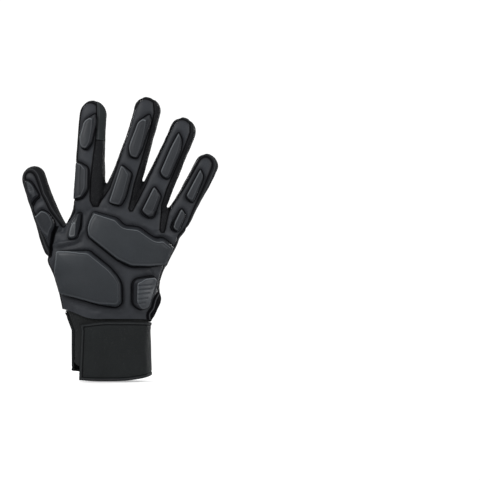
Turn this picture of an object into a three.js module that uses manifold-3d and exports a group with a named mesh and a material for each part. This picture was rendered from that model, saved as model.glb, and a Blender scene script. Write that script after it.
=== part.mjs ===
// A padded glove for the right hand, of the kind that blockers wear in American football.
// Lengths are in millimetres. +Z runs from the wrist to the fingertips, -Y is the back of the hand, -X is
// the thumb's side.
// The origin is the centre of the cuff's mouth, where the wrist goes in.
import * as THREE from "three";
import { mergeVertices } from "three/addons/utils/BufferGeometryUtils.js";
import Module from "manifold-3d";

const wasm = await Module();
wasm.setup();

// Driving dimensions
const palmWidth = 110; // across the knuckles
const palmLength = 96; // from the wrist seam to the roots of the fingers
const palmDepth = 40; // from the back to the palm, at the heel of the hand
const cuffHeight = 64; // from the cuff's mouth to the wrist seam
const cuffWidth = 70; // the inner band, across the hand
const cuffDepth = 39; // the inner band, from back to palm
const cuffShift = 0.2; // the band's middle, towards the little finger
const cuffTuck = 8; // how far the band runs up inside the hand
const mouthLift = 12; // how much higher the inner band's mouth is than the strap's

const panelWall = 2; // the back, palm and finger walls
const bandWall = 1.8; // the knitted inner band
const strapWall = 2.2; // the wrap-round strap
const seamGap = 0.3; // between two sewn pieces
const pipingRadius = 0.9; // the cord sewn into the wrist seam

const backEdge = 5; // how far in front of a finger's middle its back panel ends
const palmEdge = 2; // how far behind a finger's middle its palm panel starts

const knucklePadHeight = 5;
const handPadHeight = 5;
const smallPadHeight = 4.5;
const fingerPadHeight = 3.6;
const thumbPadHeight = 4.5;
const gripBaseHeight = 1.3;
const gripHeight = 2.4;
const gripMargin = 2; // the grip's base stands out this far around it

const padCorner = 2.5; // rounding of the pads' corners
const gripCorner = 5;

// Each digit's middle line is an arc. across and up place its root, as shares of the palm's width and
// length, and deep of its depth. lean is its angle from +Z at the root and at the tip, curl how far the tip
// bends to the palm, and roll how far its back panel is turned to the thumb's side, from the share rollFrom
// of its length to rollFull. leftFill and rightFill are how much wider it is on each side at each of its
// sections and at its tip.
const digits = [
  {
    name: "thumb", across: -0.2, up: 0.32, deep: 0.12, leanRoot: -40, leanTip: -13,
    length: 123, width: 24.4, depth: 22.5, curl: 12, roll: 35, rollFrom: 0.42, rollFull: 0.66,
    leftFill: [0, 5.5, 5.8, 0.8, 0.8],
    rightFill: [0, 0, 0, -0.6, -0.9],
  },
  {
    name: "index", across: -0.19, up: 0.964, deep: -0.02, leanRoot: -1, leanTip: 6,
    length: 109.5, width: 25.4, depth: 20, curl: 6, roll: 18, rollFrom: 0.45, rollFull: 0.7,
    leftFill: [0, 0, 0, 0, 0],
    rightFill: [1.5, 2.5, 2.2, 1.2, 0.8],
  },
  {
    name: "middle", across: 0.019, up: 0.964, deep: -0.06, leanRoot: 21, leanTip: 12.5,
    length: 117.5, width: 25, depth: 20, curl: 5, roll: 6, rollFrom: 0.1, rollFull: 0.4,
    leftFill: [1, 2, 1.2, -0.4, -0.6],
    rightFill: [1, 2.2, 2, 1.8, 2.4],
  },
  {
    name: "ring", across: 0.29, up: 0.964, deep: -0.03, leanRoot: 26, leanTip: 20,
    length: 101, width: 24.2, depth: 19.5, curl: 6, roll: 4, rollFrom: 0.1, rollFull: 0.4,
    leftFill: [0.5, 1.2, 0.9, 0, -0.8],
    rightFill: [1, 1.8, 2, 2, 2.6],
  },
  {
    name: "little", across: 0.511, up: 0.818, deep: 0.03, leanRoot: 31, leanTip: 24,
    length: 82, width: 22, depth: 18, curl: 7, roll: 4, rollFrom: 0.1, rollFull: 0.4,
    leftFill: [0, 0, -0.4, -0.8, -0.9],
    rightFill: [0.5, 0.9, 1, 1.8, 2.6],
  },
];

// Sections of a digit, from root to tip: at is a share of its length, wide and deep of its width and depth.
const digitSections = [
  { at: -0.14, wide: 0.8, deep: 0.8 },
  { at: 0.08, wide: 1.11, deep: 1.13 },
  { at: 0.36, wide: 1.03, deep: 1.07 },
  { at: 0.66, wide: 1.0, deep: 0.98 },
];
const tipSection = { wide: 0.96, deep: 0.9 }; // where the tip starts to round off
const tipRounding = 0.52; // the length of the round tip, as a share of the width
const tipSteps = 2;

// Sections of the hand, from below the wrist seam to the webs: up is a share of the palm's length, left and
// right of its width, back and front of its depth (back is the back of the hand).
const palmSections = [
  { up: -0.18, left: -0.4, right: 0.31, back: -0.5, front: 0.5 },
  { up: 0.0, left: -0.415, right: 0.39, back: -0.53, front: 0.55 },
  { up: 0.14, left: -0.44, right: 0.438, back: -0.55, front: 0.61 },
  { up: 0.25, left: -0.462, right: 0.412, back: -0.55, front: 0.62 },
  { up: 0.36, left: -0.485, right: 0.44, back: -0.54, front: 0.62 },
  { up: 0.52, left: -0.55, right: 0.5, back: -0.51, front: 0.58 },
  { up: 0.75, left: -0.455, right: 0.595, back: -0.46, front: 0.5 },
  { up: 0.97, left: -0.35, right: 0.56, back: -0.37, front: 0.42 },
  { up: 1.12, left: -0.31, right: 0.37, back: -0.2, front: 0.36 },
  { up: 1.21, left: -0.26, right: 0.28, back: -0.04, front: 0.29 },
];
const sectionPower = 2.3; // 2 is an ellipse, and more is squarer
const palmSides = 20;
const digitSides = 12;

// Sections of the cuff, from its mouth to its tucked end: at is a share of the cuff's height.
const cuffSections = [
  { at: 0, wide: 1.02, deep: 1.03, aside: 0.01 },
  { at: 0.74, wide: 1.0, deep: 1.0, aside: 0 },
  { at: 1.2, wide: 1.2, deep: 0.98, aside: -0.04 },
];
const cuffSides = 24;

// The wrist seam's height above or below the palm's start, as shares of the palm's length, at a share of
// its width: back is over the back of the hand, front over the palm.
const seamRows = [
  { across: -0.6, back: 0.09, front: 0.07 },
  { across: -0.36, back: 0.026, front: 0.016 },
  { across: -0.18, back: -0.048, front: -0.018 },
  { across: 0.0, back: -0.055, front: -0.04 },
  { across: 0.2, back: -0.055, front: -0.08 },
  { across: 0.38, back: -0.053, front: -0.12 },
  { across: 0.6, back: -0.06, front: -0.14 },
];

// The strap round the wrist. turn is in degrees from -X over the back of the hand; the strap's free edge is
// the first row and its sewn edge the last. foot is its lower edge's height and fall how far its top lies
// below the wrist seam, both as shares of the cuff's height.
const strapRows = [
  { turn: 45, foot: 0.01, fall: 0.12 },
  { turn: 75, foot: 0.0, fall: 0.05 },
  { turn: 105, foot: 0.005, fall: 0.04 },
  { turn: 135, foot: 0.035, fall: 0.04 },
  { turn: 180, foot: 0.085, fall: 0.045 },
  { turn: 255, foot: 0.075, fall: 0.045 },
  { turn: 360, foot: 0.14, fall: 0.045 },
];

// Outlines on the hand: shares of the palm's width and length, from the middle of the wrist seam.
const knucklePadOutline = [
  [-0.145, 1.0], [0.06, 0.935], [0.125, 0.86], [0.25, 0.845], [0.345, 0.765], [0.39, 0.735],
  [0.45, 0.745], [0.54, 0.66], [0.475, 0.48], [0.33, 0.455], [0.18, 0.455], [0.06, 0.521],
  [-0.185, 0.745], [-0.195, 0.83],
];
const handPadOutline = [
  [-0.455, 0.61], [-0.175, 0.615], [0.0, 0.452], [0.069, 0.362], [0.1, 0.29], [0.105, 0.1],
  [0.06, 0.055], [-0.1, 0.085], [-0.435, 0.195], [-0.47, 0.4],
];
const wristPadOutline = [
  [0.193, 0.3], [0.22, 0.338], [0.368, 0.365], [0.385, 0.325], [0.328, 0.075], [0.292, 0.038],
  [0.245, 0.038], [0.193, 0.09],
];
const indexKnucklePadOutline = [
  [-0.285, 0.985], [-0.245, 0.985], [-0.252, 0.85], [-0.28, 0.735], [-0.33, 0.72], [-0.365, 0.735],
  [-0.352, 0.83],
];
const largeGripOutline = [
  [0.46, 0.3], [0.385, 0.375], [0.255, 0.5], [0.11, 0.58], [-0.01, 0.52], [-0.085, 0.65], [-0.145, 0.735],
  [-0.25, 0.76], [-0.32, 0.69], [-0.345, 0.53], [-0.335, 0.4], [-0.295, 0.325], [-0.14, 0.235],
  [0.055, 0.16], [0.2, 0.1], [0.33, 0.1], [0.41, 0.15], [0.45, 0.235],
];
const smallGripOutline = [
  [0.6, 0.74], [0.565, 0.8], [0.48, 0.83], [0.435, 0.75], [0.22, 0.645], [0.3, 0.565], [0.46, 0.425],
  [0.5, 0.4], [0.55, 0.49], [0.59, 0.63],
];
// Where the palm's cloth wraps round the heel of the hand and shows on the back
const heelOutline = [
  [0.423, 0.225], [0.395, 0.185], [0.371, 0.135], [0.354, 0.056], [0.32, 0.006], [0.315, -0.02],
  [0.328, -0.16], [0.7, -0.16], [0.7, 0.225],
];

// The parts of the palm's side that the digits' fronts cover: their lower edges are the seam round the
// thumb's root and the crease at the fingers' roots
const thumbFrontOutline = [
  [-0.386, 0.906], [-0.44, 0.76], [-0.52, 0.61], [-0.62, 0.49], [-0.95, 0.49], [-0.95, 1.6], [-0.43, 1.6],
  [-0.4, 1.2],
];
const fingerFrontsOutline = [
  [-0.45, 1.2], [-0.046, 1.273], [0.272, 1.273], [0.5225, 1.055], [0.85, 0.82], [1.3, 0.82], [1.3, 2.4],
  [-0.45, 2.4],
];
// Outlines on the digits: the share of the length from the root, and the share of the width from the middle
// line.
const digitPads = [
  {
    name: "thumb_tip_pad", digit: "thumb",
    outline: [[0.9, -0.5], [0.9, -0.23], [0.86, -0.09], [0.75, 0.02], [0.74, -0.17], [0.68, -0.55]],
  },
  {
    name: "thumb_base_pad", digit: "thumb",
    outline: [
      [0.6, -0.56], [0.63, -0.3], [0.65, -0.1], [0.61, 0.09], [0.52, 0.17], [0.48, 0.08], [0.46, -0.08],
      [0.38, -0.36], [0.3, -0.66], [0.38, -0.8],
    ],
  },
  {
    name: "index_tip_pad", digit: "index",
    outline: [
      [0.89, 0.13], [0.81, -0.26], [0.66, -0.37], [0.58, -0.32], [0.56, -0.12], [0.62, 0.08], [0.81, 0.2],
    ],
  },
  {
    name: "index_base_pad", digit: "index",
    outline: [[0.46, -0.5], [0.45, -0.3], [0.41, 0.0], [0.22, 0.0], [0.15, -0.2], [0.13, -0.5]],
  },
  {
    name: "middle_tip_pad", digit: "middle",
    outline: [
      [0.87, 0.2], [0.78, -0.16], [0.56, -0.24], [0.49, -0.1], [0.49, 0.19], [0.57, 0.27], [0.81, 0.33],
    ],
  },
  {
    name: "middle_base_pad", digit: "middle",
    outline: [[0.41, -0.3], [0.37, 0.18], [0.17, 0.24], [0.09, 0.17], [0.08, -0.29]],
  },
  {
    name: "ring_tip_pad", digit: "ring",
    outline: [
      [0.85, -0.06], [0.78, 0.2], [0.68, 0.3], [0.4, 0.29], [0.39, 0.1], [0.42, -0.14], [0.68, -0.13],
    ],
  },
  {
    name: "ring_base_pad", digit: "ring",
    outline: [[0.29, -0.13], [0.23, 0.3], [0.02, 0.37], [-0.01, 0.2], [0.01, -0.16]],
  },
  {
    name: "little_tip_pad", digit: "little",
    outline: [[0.8, -0.1], [0.72, 0.2], [0.48, 0.28], [0.39, 0.28], [0.42, -0.12]],
  },
  {
    name: "little_base_pad", digit: "little",
    outline: [[0.29, -0.05], [0.24, 0.29], [0.02, 0.36], [0.02, 0.0]],
  },
];

// Where the palm's cloth shows on the thumb's inner side, as shares of the thumb's length and width
const thumbSideOutline = [
  [1.14, 0.0], [0.97, 0.08], [0.88, 0.1], [0.76, 0.1], [0.67, 0.18], [0.6, 0.29], [0.53, 0.41], [0.48, 0.53],
  [0.5, 0.75], [0.75, 0.72], [1.14, 0.5],
];

// The side walls between two fingers show on the back as a slot, which has a round foot at [across, up] of
// the hand and opens along both fingers. leftEdge and rightEdge are its edges there, as shares of the left
// finger's length and width and of the right finger's.
const narrowEdge = [[0.16, 0.46], [0.3, 0.38], [0.68, 0.38], [0.88, 0.36], [0.97, 0.22], [1.1, 0.06]];
const farEdge = [[0.2, -0.46], [0.6, -0.44], [0.86, -0.42], [0.96, -0.28], [1.1, -0.08]];
const sideWalls = [
  {
    name: "side_index_middle", left: "index", right: "middle", foot: [-0.127, 1.05], footWidth: 10,
    leftEdge: [[0.16, 0.07], [0.3, 0.08], [0.5, 0.15], [0.68, 0.21], [0.9, 0.16], [1.1, 0.0]],
    rightEdge: farEdge,
  },
  {
    name: "side_middle_ring", left: "middle", right: "ring", foot: [0.18, 1.005], footWidth: 5,
    leftEdge: narrowEdge,
    rightEdge: farEdge,
  },
  {
    name: "side_ring_little", left: "ring", right: "little", foot: [0.449, 0.793], footWidth: 5,
    leftEdge: narrowEdge,
    rightEdge: farEdge,
  },
];

// Colours, from the photograph
const looks = {
  back: { color: 0x3a3d40, roughness: 0.62 },
  pad: { color: 0x44484c, roughness: 0.5 },
  palm: { color: 0x1c1e20, roughness: 0.75 },
  mesh: { color: 0x111214, roughness: 0.9 },
  cuff: { color: 0x17181a, roughness: 0.85 },
  grip: { color: 0x050506, roughness: 0.12 },
  gripBase: { color: 0x4c4f52, roughness: 0.5 },
  piping: { color: 0x55585b, roughness: 0.6 },
};
const materials = Object.fromEntries(
  Object.entries(looks).map(([name, look]) => [
    name,
    new THREE.MeshStandardMaterial({ ...look, metalness: 0 }),
  ]),
);

const radians = THREE.MathUtils.degToRad;
const lerp = THREE.MathUtils.lerp;
const farAway = 3 * (palmLength + palmWidth);

// A table's columns at a value of one of them, in between its rows
function readTable(rows, column, value) {
  const held = THREE.MathUtils.clamp(value, rows[0][column], rows[rows.length - 1][column]);
  const next = Math.max(1, rows.findIndex((row) => row[column] >= held));
  const before = rows[next - 1];
  const after = rows[next];
  const t = (held - before[column]) / (after[column] - before[column]);
  return Object.fromEntries(Object.keys(after).map((name) => [name, lerp(before[name], after[name], t)]));
}

// Solids from geometries and back
function solidOf(geometry) {
  const loose = geometry.index ? geometry.toNonIndexed() : geometry;
  const bare = new THREE.BufferGeometry();
  bare.setAttribute("position", loose.getAttribute("position"));
  const merged = mergeVertices(bare, 1e-4);
  return new wasm.Manifold(
    new wasm.Mesh({
      numProp: 3,
      vertProperties: new Float32Array(merged.attributes.position.array),
      triVerts: new Uint32Array(merged.index.array),
    }),
  );
}

function geometryOf(solid) {
  const mesh = solid.getMesh();
  return new THREE.BufferGeometry()
    .setAttribute("position", new THREE.BufferAttribute(new Float32Array(mesh.vertProperties), 3))
    .setIndex(new THREE.BufferAttribute(new Uint32Array(mesh.triVerts), 1))
    .toNonIndexed();
}

// A closed solid from rows of points that all have the same count. Closed rows are rings; the two ends get
// a fan.
function loft(rings) {
  const sides = rings[0].length;
  const triangles = [];
  const face = (a, b, c) => triangles.push(a, b, c);
  for (let i = 0; i + 1 < rings.length; i++) {
    for (let j = 0; j < sides; j++) {
      const k = (j + 1) % sides;
      face(rings[i][j], rings[i][k], rings[i + 1][k]);
      face(rings[i][j], rings[i + 1][k], rings[i + 1][j]);
    }
  }
  const middle = (ring) => ring.reduce((sum, p) => sum.add(p), new THREE.Vector3()).divideScalar(ring.length);
  const first = rings[0];
  const last = rings[rings.length - 1];
  const firstMiddle = middle(first);
  const lastMiddle = middle(last);
  for (let j = 0; j < sides; j++) {
    const k = (j + 1) % sides;
    face(firstMiddle, first[k], first[j]);
    face(lastMiddle, last[j], last[k]);
  }
  return outward(solidOf(new THREE.BufferGeometry().setFromPoints(triangles)), rings);
}

// Turns a loft that came out inside out.
function outward(solid, rings) {
  return solid.volume() > 0 ? solid : loft([...rings].reverse());
}

// A point of a squared ellipse, at a turn in radians.
function rounded(turn, halfWide, halfDeep) {
  const power = 2 / sectionPower;
  const wide = Math.sign(Math.cos(turn)) * Math.abs(Math.cos(turn)) ** power;
  const deep = Math.sign(Math.sin(turn)) * Math.abs(Math.sin(turn)) ** power;
  return [wide * halfWide, deep * halfDeep];
}

const onHand = ([across, up]) => [across * palmWidth, cuffHeight + up * palmLength];

// A digit's middle line: its place, and its lean, at a share of its length
const arcSteps = 24;
function along(digit, share) {
  const [rootX, rootZ] = onHand([digit.across, digit.up]);
  const place = new THREE.Vector3(rootX, digit.deep * palmDepth + digit.curl * share * share, rootZ);
  const step = (share * digit.length) / arcSteps;
  for (let i = 0; i < arcSteps; i++) {
    const lean = radians(lerp(digit.leanRoot, digit.leanTip, ((i + 0.5) / arcSteps) * share));
    place.x += step * Math.sin(lean);
    place.z += step * Math.cos(lean);
  }
  const lean = radians(lerp(digit.leanRoot, digit.leanTip, share));
  return {
    place,
    onward: new THREE.Vector3(Math.sin(lean), 0, Math.cos(lean)),
    sideways: new THREE.Vector3(Math.cos(lean), 0, -Math.sin(lean)),
  };
}
const digitNamed = (name) => digits.find((digit) => digit.name === name);

// A digit, grown all round by grow, or shrunk where that is negative
function digitForm(digit, grow) {
  const tipStart = 1 - (tipRounding * digit.width) / digit.length;
  const rows = [...digitSections, { at: tipStart, ...tipSection }].map((row, i) => ({
    ...row,
    left: digit.leftFill[i],
    right: digit.rightFill[i],
    beyond: 0,
    round: 1,
  }));
  const tipRow = rows.at(-1);
  rows[0].beyond = -1;
  for (let i = 1; i <= tipSteps; i++) {
    const turn = (i / (tipSteps + 0.6)) * (Math.PI / 2);
    rows.push({
      ...tipRow,
      at: lerp(tipStart, 1, Math.sin(turn)),
      beyond: Math.sin(turn),
      round: Math.cos(turn),
    });
  }
  const rings = rows.map((row) => {
    const { place, onward, sideways } = along(digit, row.at);
    const halfWide = (digit.width * row.wide) / 2 + grow;
    const halfDeep = (digit.depth * row.deep) / 2 + grow;
    return Array.from({ length: digitSides }, (_, j) => {
      const turn = (j / digitSides) * 2 * Math.PI;
      const [wide, deep] = rounded(turn, halfWide * row.round, halfDeep * row.round);
      const reach = wide * (1 + (wide < 0 ? row.left : row.right) / halfWide);
      return place
        .clone()
        .addScaledVector(onward, grow * row.beyond)
        .addScaledVector(sideways, reach)
        .add(new THREE.Vector3(0, deep, 0));
    });
  });
  return loft(rings);
}

function palmForm(grow) {
  const rings = palmSections.map((row, i) => {
    const top = i === palmSections.length - 1 ? grow : 0;
    const left = row.left * palmWidth - grow;
    const right = row.right * palmWidth + grow;
    const back = row.back * palmDepth - grow;
    const front = row.front * palmDepth + grow;
    return Array.from({ length: palmSides }, (_, j) => {
      const [wide, deep] = rounded((j / palmSides) * 2 * Math.PI, (right - left) / 2, (front - back) / 2);
      return new THREE.Vector3(
        (left + right) / 2 + wide,
        (back + front) / 2 + deep,
        cuffHeight + row.up * palmLength + top,
      );
    });
  });
  return loft(rings);
}

// The whole hand's outer form, grown by grow
const forms = new Map();
function form(grow) {
  if (!forms.has(grow)) {
    const whole = digits.reduce((hand, digit) => hand.add(digitForm(digit, grow)), palmForm(grow));
    forms.set(grow, whole);
  }
  return forms.get(grow);
}

// The wrist seam's height at a place across, at the given depth
function seamHeight(x, y) {
  const { back, front } = readTable(seamRows, "across", x / palmWidth);
  const deep = THREE.MathUtils.clamp(y / palmDepth + 0.5, 0, 1);
  return cuffHeight + lerp(back, front, deep) * palmLength;
}

// All that lies below the wrist seam, moved up by lift
function belowSeam(lift) {
  const rings = seamRows.map((row) => {
    const x = row.across * palmWidth;
    const depths = [farAway, palmDepth / 2, -palmDepth / 2, -farAway];
    const edge = depths.map((y) => new THREE.Vector3(x, y, seamHeight(x, y) + lift));
    return [new THREE.Vector3(x, -farAway, -farAway), new THREE.Vector3(x, farAway, -farAway), ...edge];
  });
  return sheetLoft(rings);
}

// The surface that parts the back of the glove from the palm. At each (x, z) it is a mean of the planes
// through the digits' middle lines, turned by their rolls, and the hand's own middle plane, weighted by
// nearness.
const lineSteps = 14;
const middleLines = digits.map((digit) => ({
  digit,
  points: Array.from({ length: lineSteps + 1 }, (_, i) => i / lineSteps).map((share) => ({
    share,
    ...along(digit, share),
  })),
}));
const handLine = [onHand([0, -0.2]), onHand([0.14, 0.9])];
const handPull = 0.12; // how much the hand's middle plane counts against the digits'
const softness = 9; // in mm, how gently the planes meet

function partingDepth(x, z) {
  const [[x0, z0], [x1, z1]] = handLine;
  const onward = ((z - z0) * (z1 - z0) + (x - x0) * (x1 - x0)) / ((z1 - z0) ** 2 + (x1 - x0) ** 2);
  const reach = THREE.MathUtils.clamp(onward, 0, 1);
  const handGap = Math.hypot(x - lerp(x0, x1, reach), z - lerp(z0, z1, reach)) * handPull;
  let total = 1 / (handGap ** 2 + softness ** 2) ** 2;
  let depth = 0;
  for (const { digit, points } of middleLines) {
    const near = points.reduce((best, p) => {
      const gap = Math.hypot(x - p.place.x, z - p.place.z);
      return gap < best.gap ? { ...p, gap } : best;
    }, { gap: Infinity });
    const aside = (x - near.place.x) * near.sideways.x + (z - near.place.z) * near.sideways.z;
    const roll = radians(digit.roll) * THREE.MathUtils.smoothstep(near.share, digit.rollFrom, digit.rollFull);
    const weight = 1 / (near.gap ** 2 + softness ** 2) ** 2;
    total += weight * Math.cos(roll);
    depth += weight * (Math.cos(roll) * near.place.y - Math.sin(roll) * aside);
  }
  return depth / total;
}

// All that lies in front of the parting surface, moved by shift towards the palm
const partingCell = 17;
const partingCache = new Map();
function before(shift) {
  const lowX = -palmWidth;
  const lowZ = cuffHeight - palmLength / 2;
  const columns = Math.ceil((2.2 * palmWidth) / partingCell);
  const rows = Math.ceil((2.7 * palmLength) / partingCell);
  const rings = [];
  for (let i = 0; i <= columns; i++) {
    const x = lowX + i * partingCell;
    const ring = [new THREE.Vector3(x, -farAway, lowZ)];
    for (let j = 0; j <= rows; j++) {
      const key = `${i} ${j}`;
      if (!partingCache.has(key)) partingCache.set(key, partingDepth(x, lowZ + j * partingCell));
      ring.push(new THREE.Vector3(x, partingCache.get(key) + shift, lowZ + j * partingCell));
    }
    ring.push(new THREE.Vector3(x, -farAway, lowZ + rows * partingCell));
    rings.push(ring);
  }
  return sheetLoft(rings);
}

// A solid from rows of points whose ends are flat, but not convex, so each end is triangulated. Each row
// runs anticlockwise as seen from +X, and the rows follow each other along +X.
function sheetLoft(rings) {
  const triangles = [];
  const count = rings[0].length;
  for (let i = 0; i + 1 < rings.length; i++) {
    for (let j = 0; j < count; j++) {
      const k = (j + 1) % count;
      triangles.push(rings[i][j], rings[i][k], rings[i + 1][k]);
      triangles.push(rings[i][j], rings[i + 1][k], rings[i + 1][j]);
    }
  }
  for (const [ring, turned] of [[rings[0], true], [rings[rings.length - 1], false]]) {
    const flat = ring.map((p) => new THREE.Vector2(p.y, p.z));
    for (const [a, b, c] of THREE.ShapeUtils.triangulateShape(flat, [])) {
      const corners = [ring[a], ring[b], ring[c]];
      const area = new THREE.Vector3()
        .subVectors(corners[1], corners[0])
        .cross(new THREE.Vector3().subVectors(corners[2], corners[0])).x;
      if (area > 0 === turned) corners.reverse();
      triangles.push(...corners);
    }
  }
  const solid = solidOf(new THREE.BufferGeometry().setFromPoints(triangles));
  return solid.volume() > 0 ? solid : sheetLoft([...rings].reverse());
}

// A prism along Y over an outline in X and Z, its corners rounded by radius
function prism(outline, radius = 0) {
  const points = outline.map(([x, z]) => new THREE.Vector2(x, z));
  const shape = new THREE.Shape();
  points.forEach((corner, i) => {
    const previous = points[(i + points.length - 1) % points.length];
    const next = points[(i + 1) % points.length];
    const start = corner.clone().lerp(previous, Math.min(0.45, radius / corner.distanceTo(previous)));
    const end = corner.clone().lerp(next, Math.min(0.45, radius / corner.distanceTo(next)));
    if (i === 0) shape.moveTo(start.x, start.y);
    else shape.lineTo(start.x, start.y);
    if (radius > 0) shape.quadraticCurveTo(corner.x, corner.y, end.x, end.y);
  });
  shape.closePath();
  const deep = { depth: 2 * farAway, bevelEnabled: false, curveSegments: 2 };
  const extruded = new THREE.ExtrudeGeometry(shape, deep);
  return solidOf(extruded.rotateX(Math.PI / 2).translate(0, farAway, 0));
}

// An outline moved outwards by grow, corner by corner
function grown(outline, grow) {
  const turning = outline.reduce((sum, [x, z], i) => {
    const [nextX, nextZ] = outline[(i + 1) % outline.length];
    return sum + (x * nextZ - nextX * z);
  }, 0);
  const normal = ([x0, z0], [x1, z1]) => {
    const length = Math.hypot(x1 - x0, z1 - z0) * Math.sign(turning);
    return [(z1 - z0) / length, -(x1 - x0) / length];
  };
  return outline.map((point, i) => {
    const a = normal(outline[(i + outline.length - 1) % outline.length], point);
    const b = normal(point, outline[(i + 1) % outline.length]);
    const share = grow / Math.max(0.4, 1 + a[0] * b[0] + a[1] * b[1]);
    return [point[0] + (a[0] + b[0]) * share, point[1] + (a[1] + b[1]) * share];
  });
}

const onDigit = (digit) => ([share, across]) => {
  const { place, sideways } = along(digit, share);
  return [place.x + sideways.x * across * digit.width, place.z + sideways.z * across * digit.width];
};

const glove = new THREE.Group();

// Adds a solid's largest body as a named mesh; crumbs from a cut are left out.
function addPiece(name, solid, material) {
  const bodies = solid.decompose();
  const largest = bodies.reduce((best, body) => (body.volume() > best.volume() ? body : best));
  const mesh = new THREE.Mesh(geometryOf(largest), material);
  mesh.name = name;
  glove.add(mesh);
}

// The hollow hand, before it is parted into panels
const hand = form(0).subtract(form(-panelWall)).subtract(belowSeam(0));
const halfGap = seamGap / 2;

// The slot through which a side wall shows on the back, grown by grow
function slot(wall, grow) {
  const half = wall.footWidth / 2;
  const [footX, footZ] = onHand(wall.foot);
  const outline = [
    [footX - half / 2, footZ],
    [footX - half, footZ + half],
    ...wall.leftEdge.map(onDigit(digitNamed(wall.left))),
    ...wall.rightEdge.map(onDigit(digitNamed(wall.right))).reverse(),
    [footX + half, footZ + half],
    [footX + half / 2, footZ],
  ];
  return prism(grown(outline, grow));
}

// Where the palm's cloth shows on the back of the hand
function clothOnBack(grow) {
  const heel = prism(grown(heelOutline.map(onHand), grow));
  const thumbSide = prism(grown(thumbSideOutline.map(onDigit(digitNamed("thumb"))), grow));
  return heel.add(thumbSide);
}

// The back panel, the palm panel that wraps round the outer edges up to it, and the side walls between the
// fingers
let back = hand.intersect(before(-backEdge - halfGap)).subtract(clothOnBack(halfGap));
let palm = hand.subtract(before(-backEdge + halfGap).subtract(clothOnBack(-halfGap)));
for (const wall of sideWalls) {
  back = back.subtract(slot(wall, halfGap));
  palm = palm.subtract(slot(wall, halfGap).intersect(before(palmEdge + halfGap)));
}
addPiece("back_panel", back, materials.back);

// The palm's cloth is cut in six: the palm itself, the thumb's front, and each finger's front above the
// crease at its root
const cutOut = (outline, grow) => prism(grown(outline.map(onHand), grow));
const palmWithoutThumb = palm.subtract(cutOut(thumbFrontOutline, halfGap));
addPiece("palm_panel", palmWithoutThumb.subtract(cutOut(fingerFrontsOutline, halfGap)), materials.palm);
addPiece("thumb_front", palm.intersect(cutOut(thumbFrontOutline, -halfGap)), materials.palm);
const fingerNames = digits.map((digit) => digit.name).filter((name) => name !== "thumb");
const fingerFronts = palm
  .intersect(cutOut(fingerFrontsOutline, -halfGap))
  .decompose()
  .sort((a, b) => b.volume() - a.volume())
  .slice(0, fingerNames.length)
  .sort((a, b) => a.boundingBox().max[0] - b.boundingBox().max[0]);
fingerFronts.forEach((front, i) => addPiece(`${fingerNames[i]}_front`, front, materials.palm));

for (const wall of sideWalls) {
  const sideWall = hand.intersect(slot(wall, -halfGap)).intersect(before(palmEdge - halfGap));
  addPiece(wall.name, sideWall, materials.mesh);
}

// A pad moulded on the back of the hand, or a grip on the palm, that follows the hand's form
function layer(outline, radius, low, high) {
  return form(high).intersect(prism(outline, radius)).subtract(form(low));
}
function addBackPad(name, outline, height) {
  const pad = layer(outline, padCorner, seamGap, seamGap + height).intersect(before(backEdge));
  addPiece(name, pad, materials.pad);
}
addBackPad("knuckle_pad", knucklePadOutline.map(onHand), knucklePadHeight);
addBackPad("hand_pad", handPadOutline.map(onHand), handPadHeight);
addBackPad("wrist_pad", wristPadOutline.map(onHand), smallPadHeight);
addBackPad("index_knuckle_pad", indexKnucklePadOutline.map(onHand), smallPadHeight);
for (const pad of digitPads) {
  const digit = digitNamed(pad.digit);
  const height = pad.digit === "thumb" ? thumbPadHeight : fingerPadHeight;
  addBackPad(pad.name, pad.outline.map(onDigit(digit)), height);
}

// The two grips on the palm, each a glossy pad on a grey base
function addGrip(name, outline) {
  const behind = (solid) => solid.subtract(before(palmEdge + seamGap));
  const baseTop = seamGap + gripBaseHeight;
  const gripLow = baseTop + seamGap;
  addPiece(`${name}_base`, behind(layer(outline, gripCorner, seamGap, baseTop)), materials.gripBase);
  const inner = grown(outline, -gripMargin);
  addPiece(name, behind(layer(inner, gripCorner, gripLow, gripLow + gripHeight)), materials.grip);
}
addGrip("large_grip", largeGripOutline.map(onHand));
addGrip("small_grip", smallGripOutline.map(onHand));

// A point of the cuff: turn in degrees from -X over the back of the hand, at a height, outside the band by
// out
function onCuff(turn, z, out) {
  const { wide, deep, aside } = readTable(cuffSections, "at", z / cuffHeight);
  const halfWide = (cuffWidth / 2) * wide + out;
  const halfDeep = (cuffDepth / 2) * deep + out;
  const [x, y] = rounded(radians(turn), halfWide, halfDeep);
  return new THREE.Vector3(cuffShift + aside * cuffWidth - x, -y, z);
}

// The inner band's outer form, moved outwards by out: a tube whose top is tucked into the hand
const cuffBend = cuffSections[1].at * cuffHeight; // where the cuff starts to flare
const cuffTop = cuffHeight + cuffTuck;
function cuffTube(out, heights) {
  return loft(
    heights.map((z) =>
      Array.from({ length: cuffSides }, (_, side) => onCuff((side * 360) / cuffSides, z, out)),
    ),
  );
}
const bandHeights = [mouthLift, cuffBend, cuffTop];
const bore = cuffTube(-bandWall, [mouthLift - 1, ...bandHeights, cuffTop + 1]);
const band = cuffTube(0, bandHeights).subtract(bore);
const roomForBand = belowSeam(-seamGap).add(form(-panelWall - seamGap));
addPiece("cuff_band", band.intersect(roomForBand), materials.cuff);

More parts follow.
